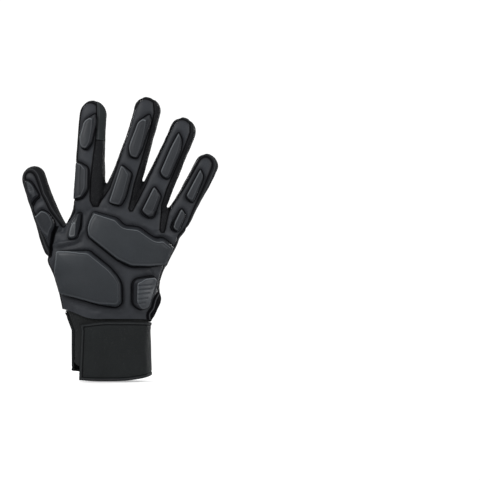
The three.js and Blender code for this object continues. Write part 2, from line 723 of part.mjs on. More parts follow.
// The strap: one layer round the band, from its free edge on the back to its sewn edge on the palm's side
const strapStep = 360 / cuffSides;
const strapRings = [];
for (let turn = strapRows[0].turn; turn <= strapRows[strapRows.length - 1].turn; turn += strapStep) {
  const { foot, fall } = readTable(strapRows, "turn", turn);
  const { x, y } = onCuff(turn, cuffBend, 0);
  const heights = [foot * cuffHeight, cuffBend, seamHeight(x, y) - fall * cuffHeight];
  strapRings.push([
    ...heights.map((z) => onCuff(turn, z, seamGap + strapWall)),
    ...heights.toReversed().map((z) => onCuff(turn, z, seamGap)),
  ]);
}
addPiece("cuff_strap", stripLoft(strapRings), materials.cuff);

// A solid from open rows of sections, each a thin wall's outer points and then its inner ones
function stripLoft(rings) {
  const triangles = [];
  const count = rings[0].length;
  const quad = (a, b, c, d) => triangles.push(a, b, c, a, c, d);
  for (let i = 0; i + 1 < rings.length; i++) {
    for (let j = 0; j < count; j++) {
      const k = (j + 1) % count;
      quad(rings[i][j], rings[i][k], rings[i + 1][k], rings[i + 1][j]);
    }
  }
  const first = rings[0];
  const last = rings[rings.length - 1];
  for (let j = 0; j + 1 < count / 2; j++) {
    quad(first[j + 1], first[j], first[count - 1 - j], first[count - 2 - j]);
    quad(last[j], last[j + 1], last[count - 2 - j], last[count - 1 - j]);
  }
  const solid = solidOf(new THREE.BufferGeometry().setFromPoints(triangles));
  return solid.volume() > 0 ? solid : stripLoft([...rings].reverse());
}

// The piping in the wrist seam, round the palm's side
const pipingTurns = { from: 190, to: 350 };
class SeamLine extends THREE.Curve {
  getPoint(share) {
    const turn = lerp(pipingTurns.from, pipingTurns.to, share);
    const out = seamGap + pipingRadius;
    const guess = onCuff(turn, cuffHeight, out);
    const { x, y } = onCuff(turn, seamHeight(guess.x, guess.y), out);
    return new THREE.Vector3(x, y, seamHeight(x, y) - seamGap - pipingRadius);
  }
}
const pipingSteps = 18;
const pipingSides = 6;
const pipingSection = new THREE.Shape(
  Array.from({ length: pipingSides }, (_, side) => {
    const turn = (side * 2 * Math.PI) / pipingSides;
    return new THREE.Vector2(Math.cos(turn) * pipingRadius, Math.sin(turn) * pipingRadius);
  }),
);
const piping = new THREE.ExtrudeGeometry(pipingSection, {
  steps: pipingSteps,
  bevelEnabled: false,
  extrudePath: new SeamLine(),
});
const clearOfBand = cuffTube(seamGap, bandHeights);
const seamCord = solidOf(piping).subtract(clearOfBand).intersect(belowSeam(-seamGap));
addPiece("wrist_piping", seamCord, materials.piping);

export default glove;
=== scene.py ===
import math

import bpy
import numpy as np
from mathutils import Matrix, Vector, noise


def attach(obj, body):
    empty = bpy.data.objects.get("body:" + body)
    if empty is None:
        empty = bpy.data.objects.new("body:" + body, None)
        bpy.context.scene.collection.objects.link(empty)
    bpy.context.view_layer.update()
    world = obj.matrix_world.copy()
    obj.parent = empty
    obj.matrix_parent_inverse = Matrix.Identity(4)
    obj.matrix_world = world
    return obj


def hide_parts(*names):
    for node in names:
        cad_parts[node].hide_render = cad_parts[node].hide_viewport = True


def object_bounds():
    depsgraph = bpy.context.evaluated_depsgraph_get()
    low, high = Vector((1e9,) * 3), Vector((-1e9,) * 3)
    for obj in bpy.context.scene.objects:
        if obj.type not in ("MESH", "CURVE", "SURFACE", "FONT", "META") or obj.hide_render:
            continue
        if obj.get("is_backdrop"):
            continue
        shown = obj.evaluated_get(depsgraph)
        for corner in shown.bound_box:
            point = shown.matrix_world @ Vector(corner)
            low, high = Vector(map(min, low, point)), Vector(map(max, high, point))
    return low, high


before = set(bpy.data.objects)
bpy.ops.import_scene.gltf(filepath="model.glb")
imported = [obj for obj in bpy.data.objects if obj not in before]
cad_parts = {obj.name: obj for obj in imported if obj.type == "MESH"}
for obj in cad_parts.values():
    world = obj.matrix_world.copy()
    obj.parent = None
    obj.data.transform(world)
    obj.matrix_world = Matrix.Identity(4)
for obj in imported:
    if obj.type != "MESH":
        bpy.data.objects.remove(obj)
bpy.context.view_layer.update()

# The studio: a plain pale floor under the cuff's mouth, soft light from all round, and a camera that looks
# straight at the back of the glove.
bpy.ops.object.select_all(action="DESELECT")
bpy.ops.mesh.primitive_circle_add(vertices=96, radius=6, fill_type="NGON", location=(0, 0, -0.001))
floor = bpy.context.object
floor.name = "floor"


def node(tree, kind, inputs=(), **settings):
    """A node with its settings and, by name or number, its inputs: a value or a socket to link."""
    made = tree.nodes.new("ShaderNode" + kind)
    for key, value in settings.items():
        setattr(made, key, value)
    for key, value in dict(inputs).items():
        if isinstance(value, bpy.types.NodeSocket):
            tree.links.new(value, made.inputs[key])
        else:
            made.inputs[key].default_value = value
    return made


paper = bpy.data.materials.new("pale_paper")
paper.use_nodes = True
tree = paper.node_tree
mirrored = node(tree, "LightPath").outputs["Is Glossy Ray"]
toned = node(tree, "MixRGB", {
    "Fac": mirrored, "Color1": (0.92, 0.92, 0.92, 1), "Color2": (0.06, 0.06, 0.06, 1)})
tree.links.new(toned.outputs["Color"], tree.nodes["Principled BSDF"].inputs["Base Color"])
tree.nodes["Principled BSDF"].inputs["Roughness"].default_value = 0.8
coords = node(tree, "TexCoord").outputs["Object"]
reach = node(tree, "VectorMath", {0: coords}, operation="LENGTH").outputs["Value"]
far = node(tree, "MapRange", {0: reach, 1: 0.1, 2: 0.7, 3: 0.35, 4: 1.0}).outputs[0]
seen = node(tree, "LightPath").outputs["Is Camera Ray"]
glow = node(tree, "Math", {0: far, 1: seen}, operation="MULTIPLY").outputs[0]
white = node(tree, "Emission", {"Color": (1, 1, 1, 1), "Strength": 1.1}).outputs[0]
lit = tree.nodes["Principled BSDF"].outputs[0]
both = node(tree, "MixShader", {0: glow, 1: lit, 2: white}).outputs[0]
tree.links.new(both, tree.nodes["Material Output"].inputs["Surface"])
floor.data.materials.append(paper)
floor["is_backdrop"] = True

world = bpy.data.worlds.new("pale_room")
bpy.context.scene.world = world
world.use_nodes = True
tree = world.node_tree
seen = node(tree, "LightPath").outputs["Is Camera Ray"]
strength = node(tree, "MapRange", {0: seen, 3: 0.5, 4: 1.1}).outputs[0]
tree.nodes["Background"].inputs["Color"].default_value = (1, 1, 1, 1)
tree.links.new(strength, tree.nodes["Background"].inputs["Strength"])
bpy.context.scene.view_settings.view_transform = "Standard"


def soft_light(name, place, width, height, power):
    """A softbox that faces the middle of the glove."""
    bpy.ops.object.light_add(type="AREA", location=place)
    lamp = bpy.context.object
    lamp.name = name
    lamp.data.shape = "RECTANGLE"
    lamp.data.size = width
    lamp.data.size_y = height
    lamp.data.energy = power
    lamp.rotation_euler = (Vector((0.01, 0, 0.14)) - Vector(place)).to_track_quat("-Z", "Y").to_euler()


soft_light("key_light", (-1.0, -0.9, 1.2), 0.6, 0.6, 22)
soft_light("side_light", (1.3, -0.7, 0.6), 0.4, 0.9, 13)
soft_light("palm_key_light", (-0.5, 1.3, 0.7), 0.3, 0.9, 24)
soft_light("palm_side_light", (1.0, 1.1, 0.45), 0.25, 0.9, 15)

bpy.ops.object.camera_add(location=(0.1226, -2.533, 0.133), rotation=(math.pi / 2, 0, 0))
camera = bpy.context.object
camera.name = "camera"
camera.data.lens = 200
camera.data.sensor_width = 36
camera.data.clip_end = 50
bpy.context.scene.camera = camera

# The glove's shell is cut from synthetic leather, microfibre and stretch cloth, and sewn into a hand. Its
# form comes first: a palm and five digits, run together and smoothed. All of its lengths are in millimetres.
MM = 0.001
PALM_WIDTH = 110
PALM_LENGTH = 96
PALM_DEPTH = 40
CUFF_HEIGHT = 64
SQUARENESS = 2.3
DIGITS = {
    "thumb": dict(across=-0.2, up=0.32, deep=0.12, lean=(-40, -13), length=123, width=24.4, depth=22.5,
                  curl=12, roll=35, rolled=(0.42, 0.66),
                  left=[0, 5.5, 5.8, 0.8, 0.8], right=[0, 0, 0, -0.6, -0.9]),
    "index": dict(across=-0.19, up=0.964, deep=-0.02, lean=(-1, 6), length=109.5, width=25.4, depth=20,
                  curl=6, roll=18, rolled=(0.45, 0.7),
                  left=[0, 0, 0, 0, 0], right=[1.5, 2.5, 2.2, 1.2, 0.8]),
    "middle": dict(across=0.019, up=0.964, deep=-0.06, lean=(21, 12.5), length=117.5, width=25, depth=20,
                   curl=5, roll=6, rolled=(0.1, 0.4),
                   left=[1, 2, 1.2, -0.4, -0.6], right=[1, 2.2, 2, 1.8, 2.4]),
    "ring": dict(across=0.29, up=0.964, deep=-0.03, lean=(26, 20), length=101, width=24.2, depth=19.5,
                 curl=6, roll=4, rolled=(0.1, 0.4),
                 left=[0.5, 1.2, 0.9, 0, -0.8], right=[1, 1.8, 2, 2, 2.6]),
    "little": dict(across=0.511, up=0.818, deep=0.03, lean=(31, 24), length=82, width=22, depth=18,
                   curl=7, roll=4, rolled=(0.1, 0.4),
                   left=[0, 0, -0.4, -0.8, -0.9], right=[0.5, 0.9, 1, 1.8, 2.6]),
}
DIGIT_SECTIONS = dict(at=[-0.14, 0.08, 0.36, 0.66, 0.9], wide=[0.8, 1.11, 1.03, 1.0, 0.97],
                      deep=[0.8, 1.13, 1.07, 0.98, 0.92])
TIP_LENGTH = 0.52
PALM_SECTIONS = dict(
    up=[-0.18, 0, 0.14, 0.25, 0.36, 0.52, 0.75, 0.97, 1.12, 1.21],
    left=[-0.4, -0.415, -0.44, -0.462, -0.485, -0.55, -0.455, -0.35, -0.31, -0.26],
    right=[0.31, 0.39, 0.438, 0.412, 0.44, 0.5, 0.595, 0.56, 0.37, 0.28],
    back=[-0.5, -0.53, -0.55, -0.55, -0.54, -0.51, -0.46, -0.37, -0.2, -0.04],
    front=[0.5, 0.55, 0.61, 0.62, 0.62, 0.58, 0.5, 0.42, 0.36, 0.29],
)
SKIN_CELL = 1.0
SKIN_SMOOTHINGS = 18


def smooth_curve(at, places, values):
    """Values of a smooth curve through the given ones."""
    places = np.asarray(places, float)
    values = np.asarray(values, float)
    slopes = np.gradient(values, places)
    i = np.clip(np.searchsorted(places, at) - 1, 0, len(places) - 2)
    width = places[i + 1] - places[i]
    t = np.clip((at - places[i]) / width, 0, 1)
    start = (1 + 2 * t) * (1 - t) ** 2 * values[i] + t * (1 - t) ** 2 * width * slopes[i]
    end = t * t * (3 - 2 * t) * values[i + 1] + t * t * (t - 1) * width * slopes[i + 1]
    return start + end


def on_hand(across, up):
    """X and Z of a place given in shares of the palm's width and length."""
    return np.asarray(across) * PALM_WIDTH, CUFF_HEIGHT + np.asarray(up) * PALM_LENGTH


def midline(digit, share):
    """A digit's middle line at a share of its length: X, Y, Z and its lean."""
    root, tip = (math.radians(angle) for angle in digit["lean"])
    bend = tip - root
    lean = root + bend * share
    x, z = on_hand(digit["across"], digit["up"])
    x = x + digit["length"] * (math.cos(root) - np.cos(lean)) / bend
    z = z + digit["length"] * (np.sin(lean) - math.sin(root)) / bend
    return x, digit["deep"] * PALM_DEPTH + digit["curl"] * share**2, z, lean


def squared_round(turn):
    """A point of a circle squared a little, at each turn."""
    power = 2 / SQUARENESS
    c, s = np.cos(turn), np.sin(turn)
    return np.sign(c) * np.abs(c) ** power, np.sign(s) * np.abs(s) ** power


def new_piece(name, points, faces):
    """An object from points in millimetres, alone selected and active."""
    mesh = bpy.data.meshes.new(name)
    mesh.from_pydata((np.asarray(points) * MM).tolist(), [], faces)
    mesh.update()
    piece = bpy.data.objects.new(name, mesh)
    bpy.context.scene.collection.objects.link(piece)
    bpy.ops.object.select_all(action="DESELECT")
    piece.select_set(True)
    bpy.context.view_layer.objects.active = piece
    return piece


def tube_faces(rows, sides, capped=True, closed=True):
    """Faces of rings of points that follow each other; the two ends get fans to two more points."""
    around = sides if closed else sides - 1
    faces = [
        (i * sides + j, i * sides + (j + 1) % sides, (i + 1) * sides + (j + 1) % sides, (i + 1) * sides + j)
        for i in range(rows - 1) for j in range(around)
    ]
    if capped:
        last = (rows - 1) * sides
        for j in range(sides):
            k = (j + 1) % sides
            faces += [(rows * sides, k, j), (rows * sides + 1, last + j, last + k)]
    return faces


def closed_tube(name, rings):
    points = np.concatenate([rings.reshape(-1, 3), rings[:1].mean(1), rings[-1:].mean(1)])
    return new_piece(name, points, tube_faces(*rings.shape[:2]))


def apply_modifier(piece, kind, **settings):
    modifier = piece.modifiers.new(kind.lower(), kind)
    for key, value in settings.items():
        setattr(modifier, key, value)
    bpy.ops.object.modifier_apply(modifier=modifier.name)


def face_outward():
    """Turns the active piece's faces outward."""
    bpy.ops.object.mode_set(mode="EDIT")
    bpy.ops.mesh.select_all(action="SELECT")
    bpy.ops.mesh.normals_make_consistent(inside=False)
    bpy.ops.object.mode_set(mode="OBJECT")


around = np.linspace(0, 2 * np.pi, 40, endpoint=False)
wide_unit, deep_unit = squared_round(around)
bodies = []
for name, digit in DIGITS.items():
    tip_start = 1 - TIP_LENGTH * digit["width"] / digit["length"]
    shaft = np.linspace(DIGIT_SECTIONS["at"][0], tip_start, 50)
    turns = np.linspace(0, np.pi / 2, 14)[1:-1]
    shares = np.concatenate([shaft, tip_start + (1 - tip_start) * np.sin(turns)])
    narrowing = np.concatenate([np.ones(50), np.cos(turns)])
    x, y, z, lean = midline(digit, shares)
    section = np.minimum(shares, DIGIT_SECTIONS["at"][-1])
    half_wide = digit["width"] / 2 * smooth_curve(section, DIGIT_SECTIONS["at"], DIGIT_SECTIONS["wide"])
    half_deep = digit["depth"] / 2 * narrowing
    half_deep = half_deep * smooth_curve(section, DIGIT_SECTIONS["at"], DIGIT_SECTIONS["deep"])
    fills = (smooth_curve(section, DIGIT_SECTIONS["at"], digit[side])[:, None] for side in ("left", "right"))
    aside = wide_unit * (half_wide[:, None] + np.where(wide_unit < 0, *fills)) * narrowing[:, None]
    rings = np.stack([
        x[:, None] + np.cos(lean)[:, None] * aside,
        y[:, None] + np.outer(half_deep, deep_unit),
        z[:, None] - np.sin(lean)[:, None] * aside,
    ], 2)
    bodies.append(closed_tube(name + "_form", rings))

ups = np.linspace(PALM_SECTIONS["up"][0], PALM_SECTIONS["up"][-1], 60)
left, right, back, front = (
    smooth_curve(ups, PALM_SECTIONS["up"], PALM_SECTIONS[side])[:, None]
    for side in ("left", "right", "back", "front")
)
bodies.append(closed_tube("palm_form", np.stack([
    ((left + right) / 2 + (right - left) / 2 * wide_unit) * PALM_WIDTH,
    ((back + front) / 2 + (front - back) / 2 * deep_unit) * PALM_DEPTH,
    np.repeat(CUFF_HEIGHT + ups * PALM_LENGTH, len(around)).reshape(len(ups), -1),
], 2)))

bpy.ops.object.select_all(action="DESELECT")
for body in bodies:
    body.select_set(True)
bpy.context.view_layer.objects.active = bodies[0]
bpy.ops.object.join()
form = bpy.context.object
face_outward()
apply_modifier(form, "REMESH", mode="VOXEL", voxel_size=SKIN_CELL * MM)
apply_modifier(form, "SMOOTH", factor=0.5, iterations=SKIN_SMOOTHINGS)


def read_mesh(piece):
    """A mesh's points in millimetres, their normals and its faces."""
    mesh = piece.data
    points = np.empty(len(mesh.vertices) * 3)
    mesh.vertices.foreach_get("co", points)
    normals = np.empty(len(mesh.vertices) * 3)
    mesh.vertex_normals.foreach_get("vector", normals)
    return points.reshape(-1, 3) / MM, normals.reshape(-1, 3), [tuple(f.vertices) for f in mesh.polygons]


skin_points, skin_normals, skin_faces = read_mesh(form)
bpy.data.objects.remove(form)

# The shell's panels meet along seams: one round the edge of the hand and of each digit, and those of the
# black side walls between the fingers. The back is also moulded with creases round its pads.
# A crease is its line, its depth and its width, and a ridge has a negative depth.
HAND_PULL = 0.12
SOFTNESS = 9
BACK_EDGE = 5
PALM_EDGE = 2


def parting_depth(x, z):
    """Depth of the surface between the back and the palm, from the digits' middle lines."""
    (x0, z0), (x1, z1) = on_hand(0, -0.2), on_hand(0.14, 0.9)
    reach = ((x - x0) * (x1 - x0) + (z - z0) * (z1 - z0)) / ((x1 - x0) ** 2 + (z1 - z0) ** 2)
    reach = np.clip(reach, 0, 1)
    gap = np.hypot(x - x0 - reach * (x1 - x0), z - z0 - reach * (z1 - z0)) * HAND_PULL
    total = 1 / (gap**2 + SOFTNESS**2) ** 2
    depth = np.zeros_like(x)
    for digit in DIGITS.values():
        shares = np.linspace(0, 1, 60)
        line = midline(digit, shares)
        gaps = np.hypot(x[:, None] - line[0], z[:, None] - line[2])
        near = gaps.argmin(1)
        lean = line[3][near]
        aside = (x - line[0][near]) * np.cos(lean) - (z - line[2][near]) * np.sin(lean)
        low, high = digit["rolled"]
        ease = np.clip((shares[near] - low) / (high - low), 0, 1)
        roll = math.radians(digit["roll"]) * ease * ease * (3 - 2 * ease)
        weight = 1 / (gaps.min(1) ** 2 + SOFTNESS**2) ** 2
        total += weight
        depth += weight * (np.cos(roll) * line[1][near] - np.sin(roll) * aside)
    return depth / total


def hand_outline(*places):
    return np.array([on_hand(across, up) for across, up in places])


def digit_outline(name, *places):
    """An outline from shares of a digit's length and of its width from the middle line."""
    digit = DIGITS[name]
    outline = []
    for share, aside in places:
        x, _, z, lean = midline(digit, share)
        reach = aside * digit["width"]
        outline.append((x + math.cos(lean) * reach, z - math.sin(lean) * reach))
    return np.array(outline)


def round_corners(outline, radius):
    softened = []
    for i, corner in enumerate(outline):
        before, after = outline[i - 1], outline[(i + 1) % len(outline)]
        start = corner + (before - corner) * min(0.45, radius / np.linalg.norm(before - corner))
        end = corner + (after - corner) * min(0.45, radius / np.linalg.norm(after - corner))
        for t in np.linspace(0, 1, 6):
            softened.append((1 - t) ** 2 * start + 2 * t * (1 - t) * corner + t * t * end)
    return np.array(softened)


def outside(x, z, outline):
    """Distance from an outline, negative inside it."""
    best = np.full(x.shape, 1e9)
    within = np.zeros(x.shape, bool)
    for (ax, az), (bx, bz) in zip(outline, np.roll(outline, -1, 0)):
        length = (bx - ax) ** 2 + (bz - az) ** 2 + 1e-12
        t = np.clip(((x - ax) * (bx - ax) + (z - az) * (bz - az)) / length, 0, 1)
        best = np.minimum(best, np.hypot(x - ax - t * (bx - ax), z - az - t * (bz - az)))
        if az != bz:
            within ^= ((az > z) != (bz > z)) & (x < ax + (z - az) * (bx - ax) / (bz - az))
    return np.where(within, -best, best)


def near_line(x, z, line):
    """Distance from an open line."""
    best = np.full(x.shape, 1e9)
    for (ax, az), (bx, bz) in zip(line[:-1], line[1:]):
        length = (bx - ax) ** 2 + (bz - az) ** 2
        t = np.clip(((x - ax) * (bx - ax) + (z - az) * (bz - az)) / length, 0, 1)
        best = np.minimum(best, np.hypot(x - ax - t * (bx - ax), z - az - t * (bz - az)))
    return best


def bump(distance, width):
    return np.exp(-((distance / width) ** 2))


HEEL = hand_outline((0.423, 0.225), (0.395, 0.185), (0.371, 0.135), (0.354, 0.056), (0.32, 0.006),
                    (0.315, -0.02), (0.328, -0.16), (0.7, -0.16), (0.7, 0.225))
THUMB_SIDE = digit_outline("thumb", (1.14, 0), (0.97, 0.08), (0.88, 0.1), (0.76, 0.1), (0.67, 0.18),
                           (0.6, 0.29), (0.53, 0.41), (0.48, 0.53), (0.5, 0.75), (0.75, 0.72), (1.14, 0.5))
NARROW_EDGE = [(0.16, 0.46), (0.3, 0.38), (0.68, 0.38), (0.88, 0.36), (0.97, 0.22), (1.1, 0.06)]
FAR_EDGE = [(0.2, -0.46), (0.6, -0.44), (0.86, -0.42), (0.96, -0.28), (1.1, -0.08)]
INDEX_EDGE = [(0.16, 0.07), (0.3, 0.08), (0.5, 0.15), (0.68, 0.21), (0.9, 0.16), (1.1, 0.0)]
SIDE_WALLS = {
    "side_index_middle": dict(left="index", right="middle", foot=(-0.127, 1.05), foot_width=10,
                              left_edge=INDEX_EDGE, right_edge=FAR_EDGE),
    "side_middle_ring": dict(left="middle", right="ring", foot=(0.18, 1.005), foot_width=5,
                             left_edge=NARROW_EDGE, right_edge=FAR_EDGE),
    "side_ring_little": dict(left="ring", right="little", foot=(0.449, 0.793), foot_width=5,
                             left_edge=NARROW_EDGE, right_edge=FAR_EDGE),
}


def slot_outline(wall):
    half = wall["foot_width"] / 2
    foot_x, foot_z = on_hand(*wall["foot"])
    left_edge = digit_outline(wall["left"], *wall["left_edge"])
    right_edge = digit_outline(wall["right"], *wall["right_edge"])
    foot = [(foot_x + half, foot_z + half), (foot_x + half / 2, foot_z), (foot_x - half / 2, foot_z),
            (foot_x - half, foot_z + half)]
    return np.concatenate([left_edge, right_edge[::-1], foot])


PAD_OUTLINES = {
    "knuckle_pad": hand_outline(
        (-0.145, 1.0), (0.06, 0.935), (0.125, 0.86), (0.25, 0.845), (0.345, 0.765), (0.39, 0.735),
        (0.45, 0.745), (0.54, 0.66), (0.475, 0.48), (0.33, 0.455), (0.18, 0.455), (0.06, 0.521),
        (-0.185, 0.745), (-0.195, 0.83)),
    "hand_pad": hand_outline(
        (-0.455, 0.61), (-0.175, 0.615), (0.0, 0.452), (0.069, 0.362), (0.1, 0.29), (0.105, 0.1),
        (0.06, 0.055), (-0.1, 0.085), (-0.435, 0.195), (-0.47, 0.4)),
    "wrist_pad": hand_outline(
        (0.193, 0.3), (0.22, 0.338), (0.368, 0.365), (0.385, 0.325), (0.328, 0.075), (0.292, 0.038),
        (0.245, 0.038), (0.193, 0.09)),
    "index_knuckle_pad": hand_outline(
        (-0.285, 0.985), (-0.245, 0.985), (-0.252, 0.85), (-0.28, 0.735), (-0.33, 0.72), (-0.365, 0.735),
        (-0.352, 0.83)),
    "thumb_tip_pad": digit_outline(
        "thumb", (0.9, -0.55), (0.9, -0.23), (0.86, -0.09), (0.75, 0.02), (0.74, -0.17), (0.68, -0.6)),
    "thumb_base_pad": digit_outline(
        "thumb", (0.6, -0.6), (0.63, -0.3), (0.65, -0.1), (0.61, 0.09), (0.52, 0.17), (0.48, 0.08),
        (0.46, -0.08), (0.38, -0.36), (0.3, -0.66), (0.36, -0.84), (0.5, -0.75)),
    "index_tip_pad": digit_outline(
        "index", (0.89, 0.13), (0.81, -0.26), (0.66, -0.37), (0.58, -0.32), (0.56, -0.12), (0.62, 0.08),
        (0.81, 0.2)),
    "index_base_pad": digit_outline(
        "index", (0.46, -0.55), (0.45, -0.3), (0.41, 0.0), (0.22, 0.0), (0.15, -0.2), (0.13, -0.55)),
    "middle_tip_pad": digit_outline(
        "middle", (0.87, 0.2), (0.78, -0.16), (0.56, -0.24), (0.49, -0.1), (0.49, 0.19), (0.57, 0.27),
        (0.81, 0.33)),
    "middle_base_pad": digit_outline(
        "middle", (0.41, -0.3), (0.37, 0.18), (0.17, 0.24), (0.09, 0.17), (0.08, -0.29)),
    "ring_tip_pad": digit_outline(
        "ring", (0.85, -0.06), (0.78, 0.2), (0.68, 0.3), (0.4, 0.29), (0.39, 0.1), (0.42, -0.14),
        (0.68, -0.13)),
    "ring_base_pad": digit_outline(
        "ring", (0.29, -0.13), (0.23, 0.3), (0.02, 0.37), (-0.01, 0.2), (0.01, -0.16)),
    "little_tip_pad": digit_outline(
        "little", (0.8, -0.1), (0.72, 0.2), (0.48, 0.28), (0.39, 0.28), (0.42, -0.12)),
    "little_base_pad": digit_outline("little", (0.29, -0.05), (0.24, 0.29), (0.02, 0.36), (0.02, 0.0)),
}
PAD_OUTLINES = {name: round_corners(outline, 3) for name, outline in PAD_OUTLINES.items()}
GRIP_OUTLINES = {
    "large_grip": hand_outline(
        (0.46, 0.3), (0.385, 0.375), (0.255, 0.5), (0.11, 0.58), (-0.01, 0.52), (-0.085, 0.65),
        (-0.145, 0.735), (-0.25, 0.76), (-0.32, 0.69), (-0.345, 0.53), (-0.335, 0.4), (-0.295, 0.325),
        (-0.14, 0.235), (0.055, 0.16), (0.2, 0.1), (0.33, 0.1), (0.41, 0.15), (0.45, 0.235)),
    "small_grip": hand_outline(
        (0.6, 0.74), (0.565, 0.8), (0.48, 0.83), (0.435, 0.75), (0.22, 0.645), (0.3, 0.565),
        (0.46, 0.425), (0.5, 0.4), (0.55, 0.49), (0.59, 0.63)),
}
GRIP_OUTLINES = {name: round_corners(outline, 5) for name, outline in GRIP_OUTLINES.items()}
THUMB_SEAM = hand_outline((-0.33, 0.93), (-0.363, 0.887), (-0.42, 0.82), (-0.475, 0.74), (-0.53, 0.63),
                          (-0.568, 0.516), (-0.58, 0.42))
WEB_GUSSET = hand_outline((-0.232, 0.878), (-0.285, 0.96), (-0.33, 0.925), (-0.385, 0.87), (-0.305, 0.882))
PALM_CREASES = [
    (THUMB_SEAM, 1.2, 1.4),
    (hand_outline((-0.34, 1.13), (-0.2, 1.1), (-0.06, 1.16), (0.02, 1.2)), 0.9, 1.8),
    (hand_outline((-0.33, 1.2), (-0.2, 1.19), (-0.1, 1.24)), 0.6, 1.6),
    (hand_outline((-0.32, 1.02), (-0.2, 1.03), (-0.08, 1.07)), 0.6, 2.2),
    (hand_outline((0.03, 1.22), (0.15, 1.16), (0.3, 1.12)), 1.0, 1.8),
    (hand_outline((0.3, 1.1), (0.42, 1.04), (0.55, 0.94)), 1.1, 1.6),
    (hand_outline((0.5, 0.92), (0.62, 0.86), (0.72, 0.78)), 1.0, 1.6),
    (hand_outline((0.36, 1.0), (0.28, 0.92), (0.1, 0.93)), 0.7, 2.2),
    (hand_outline((-0.3, 0.95), (-0.05, 0.83), (0.2, 0.77), (0.36, 0.8)), 0.8, 4.0),
    (hand_outline((-0.42, 0.6), (-0.4, 0.4), (-0.36, 0.25), (-0.36, 0.1)), 0.8, 3.2),
    (hand_outline((-0.3, 0.22), (-0.18, 0.08), (-0.14, -0.02)), 0.8, 2.6),
    (hand_outline((-0.05, 0.14), (0.06, 0.05), (0.1, -0.05)), 0.9, 2.6),
    (hand_outline((-0.5, 0.45), (-0.46, 0.3), (-0.4, 0.16)), -0.7, 3.0),
    (hand_outline((0.27, 0.02), (0.33, -0.05), (0.39, -0.1)), 0.9, 2.2),
    (hand_outline((0.24, 0.1), (0.3, 0.0), (0.31, -0.1)), 0.6, 3.0),
]
BACK_CREASES = [
    (hand_outline((-0.47, 0.63), (-0.4, 0.645), (-0.31, 0.665), (-0.26, 0.7)), 1.2, 2.0),
    (hand_outline((-0.49, 0.665), (-0.42, 0.685), (-0.337, 0.705), (-0.285, 0.735), (-0.24, 0.8)), -1.6, 2.0),
    (hand_outline((-0.5, 0.785), (-0.45, 0.79), (-0.41, 0.81)), 1.0, 1.6),
    (hand_outline((-0.44, 0.77), (-0.44, 0.69)), -0.9, 3.2),
    (hand_outline((-0.235, 1.1), (-0.225, 0.92), (-0.2, 0.78)), -0.6, 2.6),
    (hand_outline((-0.13, 0.72), (-0.03, 0.62), (0.08, 0.5), (0.13, 0.4), (0.15, 0.25), (0.14, 0.08)),
     -0.8, 3.5),
    (hand_outline((0.378, 0.36), (0.389, 0.283), (0.418, 0.235)), -1.1, 1.2),
    (hand_outline((-0.1, 0.0), (0.0, 0.045), (0.09, 0.02)), -0.7, 2.2),
    (hand_outline((-0.3, 0.09), (-0.15, 0.03), (-0.05, 0.01)), 0.5, 2.0),
    (hand_outline((0.4, 0.765), (0.45, 0.79), (0.52, 0.75)), -0.8, 1.6),
    (hand_outline((0.31, 0.41), (0.35, 0.43), (0.36, 0.47)), -0.6, 2.0),
    (hand_outline((-0.08, 1.12), (-0.03, 1.05), (0.06, 1.01), (0.14, 1.03)), -0.5, 3.0),
    (hand_outline((0.335, 0.44), (0.36, 0.4), (0.37, 0.37)), 0.7, 1.2),
    (hand_outline((0.43, 0.44), (0.405, 0.37), (0.4, 0.3)), -0.7, 1.6),
    (hand_outline((0.17, -0.02), (0.2, 0.03), (0.27, 0.02)), -0.5, 2.0),
    (hand_outline((-0.2, 1.0), (-0.14, 1.04), (-0.05, 1.03)), 0.5, 1.8),
    (hand_outline((0.08, 0.96), (0.16, 0.93), (0.2, 0.9)), -0.6, 2.0),
    (hand_outline((0.3, 0.86), (0.36, 0.82), (0.42, 0.83)), -0.7, 1.8),
    (digit_outline("thumb", (0.66, -0.35), (0.68, 0.1)), -0.7, 2.0),
    (digit_outline("thumb", (0.7, -0.3), (0.715, 0.1)), 0.7, 1.4),
]
THUMB_SHADOW = digit_outline(
    "thumb", (0.5, 0.03), (0.475, 0.24), (0.44, 0.0), (0.38, -0.26), (0.3, -0.62), (0.35, -0.55), (0.43, -0.2))
INDEX_TRIM = 0.655
SEAM_GROOVE, SEAM_LIP, SEAM_LIP_AT, SEAM_SPREAD = 0.35, 0.1, 3.0, 1.3
WALL_GROOVE, WALL_SPREAD = 0.5, 1.2
PAD_GROOVE, PAD_GROOVE_AT, PAD_SPREAD = 0.9, 0.6, 1.3
CRUMPLE_HEIGHT, CRUMPLE_SCALE = 0.45, 0.045
ELSEWHERE = 9


def fold_depth(x, z, creases):
    return sum(depth * bump(near_line(x, z, line), width) for line, depth, width in creases)


x, y, z = skin_points.T
front = y - parting_depth(x, z)
slots = {name: outside(x, z, slot_outline(wall)) for name, wall in SIDE_WALLS.items()}
heel = outside(x, z, HEEL)
thumb_side = outside(x, z, THUMB_SIDE)
any_slot = np.minimum.reduce(list(slots.values()))
back_field = np.maximum.reduce([front + BACK_EDGE, -heel, -thumb_side, -any_slot])
trim_x, _, trim_z, trim_lean = midline(DIGITS["index"], INDEX_TRIM)
below_trim = -(x - trim_x) * math.sin(trim_lean) - (z - trim_z) * math.cos(trim_lean)
strip = np.maximum.reduce([slots["side_index_middle"], below_trim, x - 5, front - PALM_EDGE])
side_fields = [np.maximum(slots[name], front - PALM_EDGE) for name in SIDE_WALLS]
side_fields[0] = np.maximum(side_fields[0], -strip)
side_field = np.minimum.reduce(side_fields)
pad_field = np.minimum.reduce([outside(x, z, outline) for outline in PAD_OUTLINES.values()])
pad_field = np.where(front < 3, pad_field, ELSEWHERE)
grip_field = np.minimum.reduce([outside(x, z, outline) for outline in GRIP_OUTLINES.values()])
grip_field = np.where(front > 0, grip_field, ELSEWHERE)
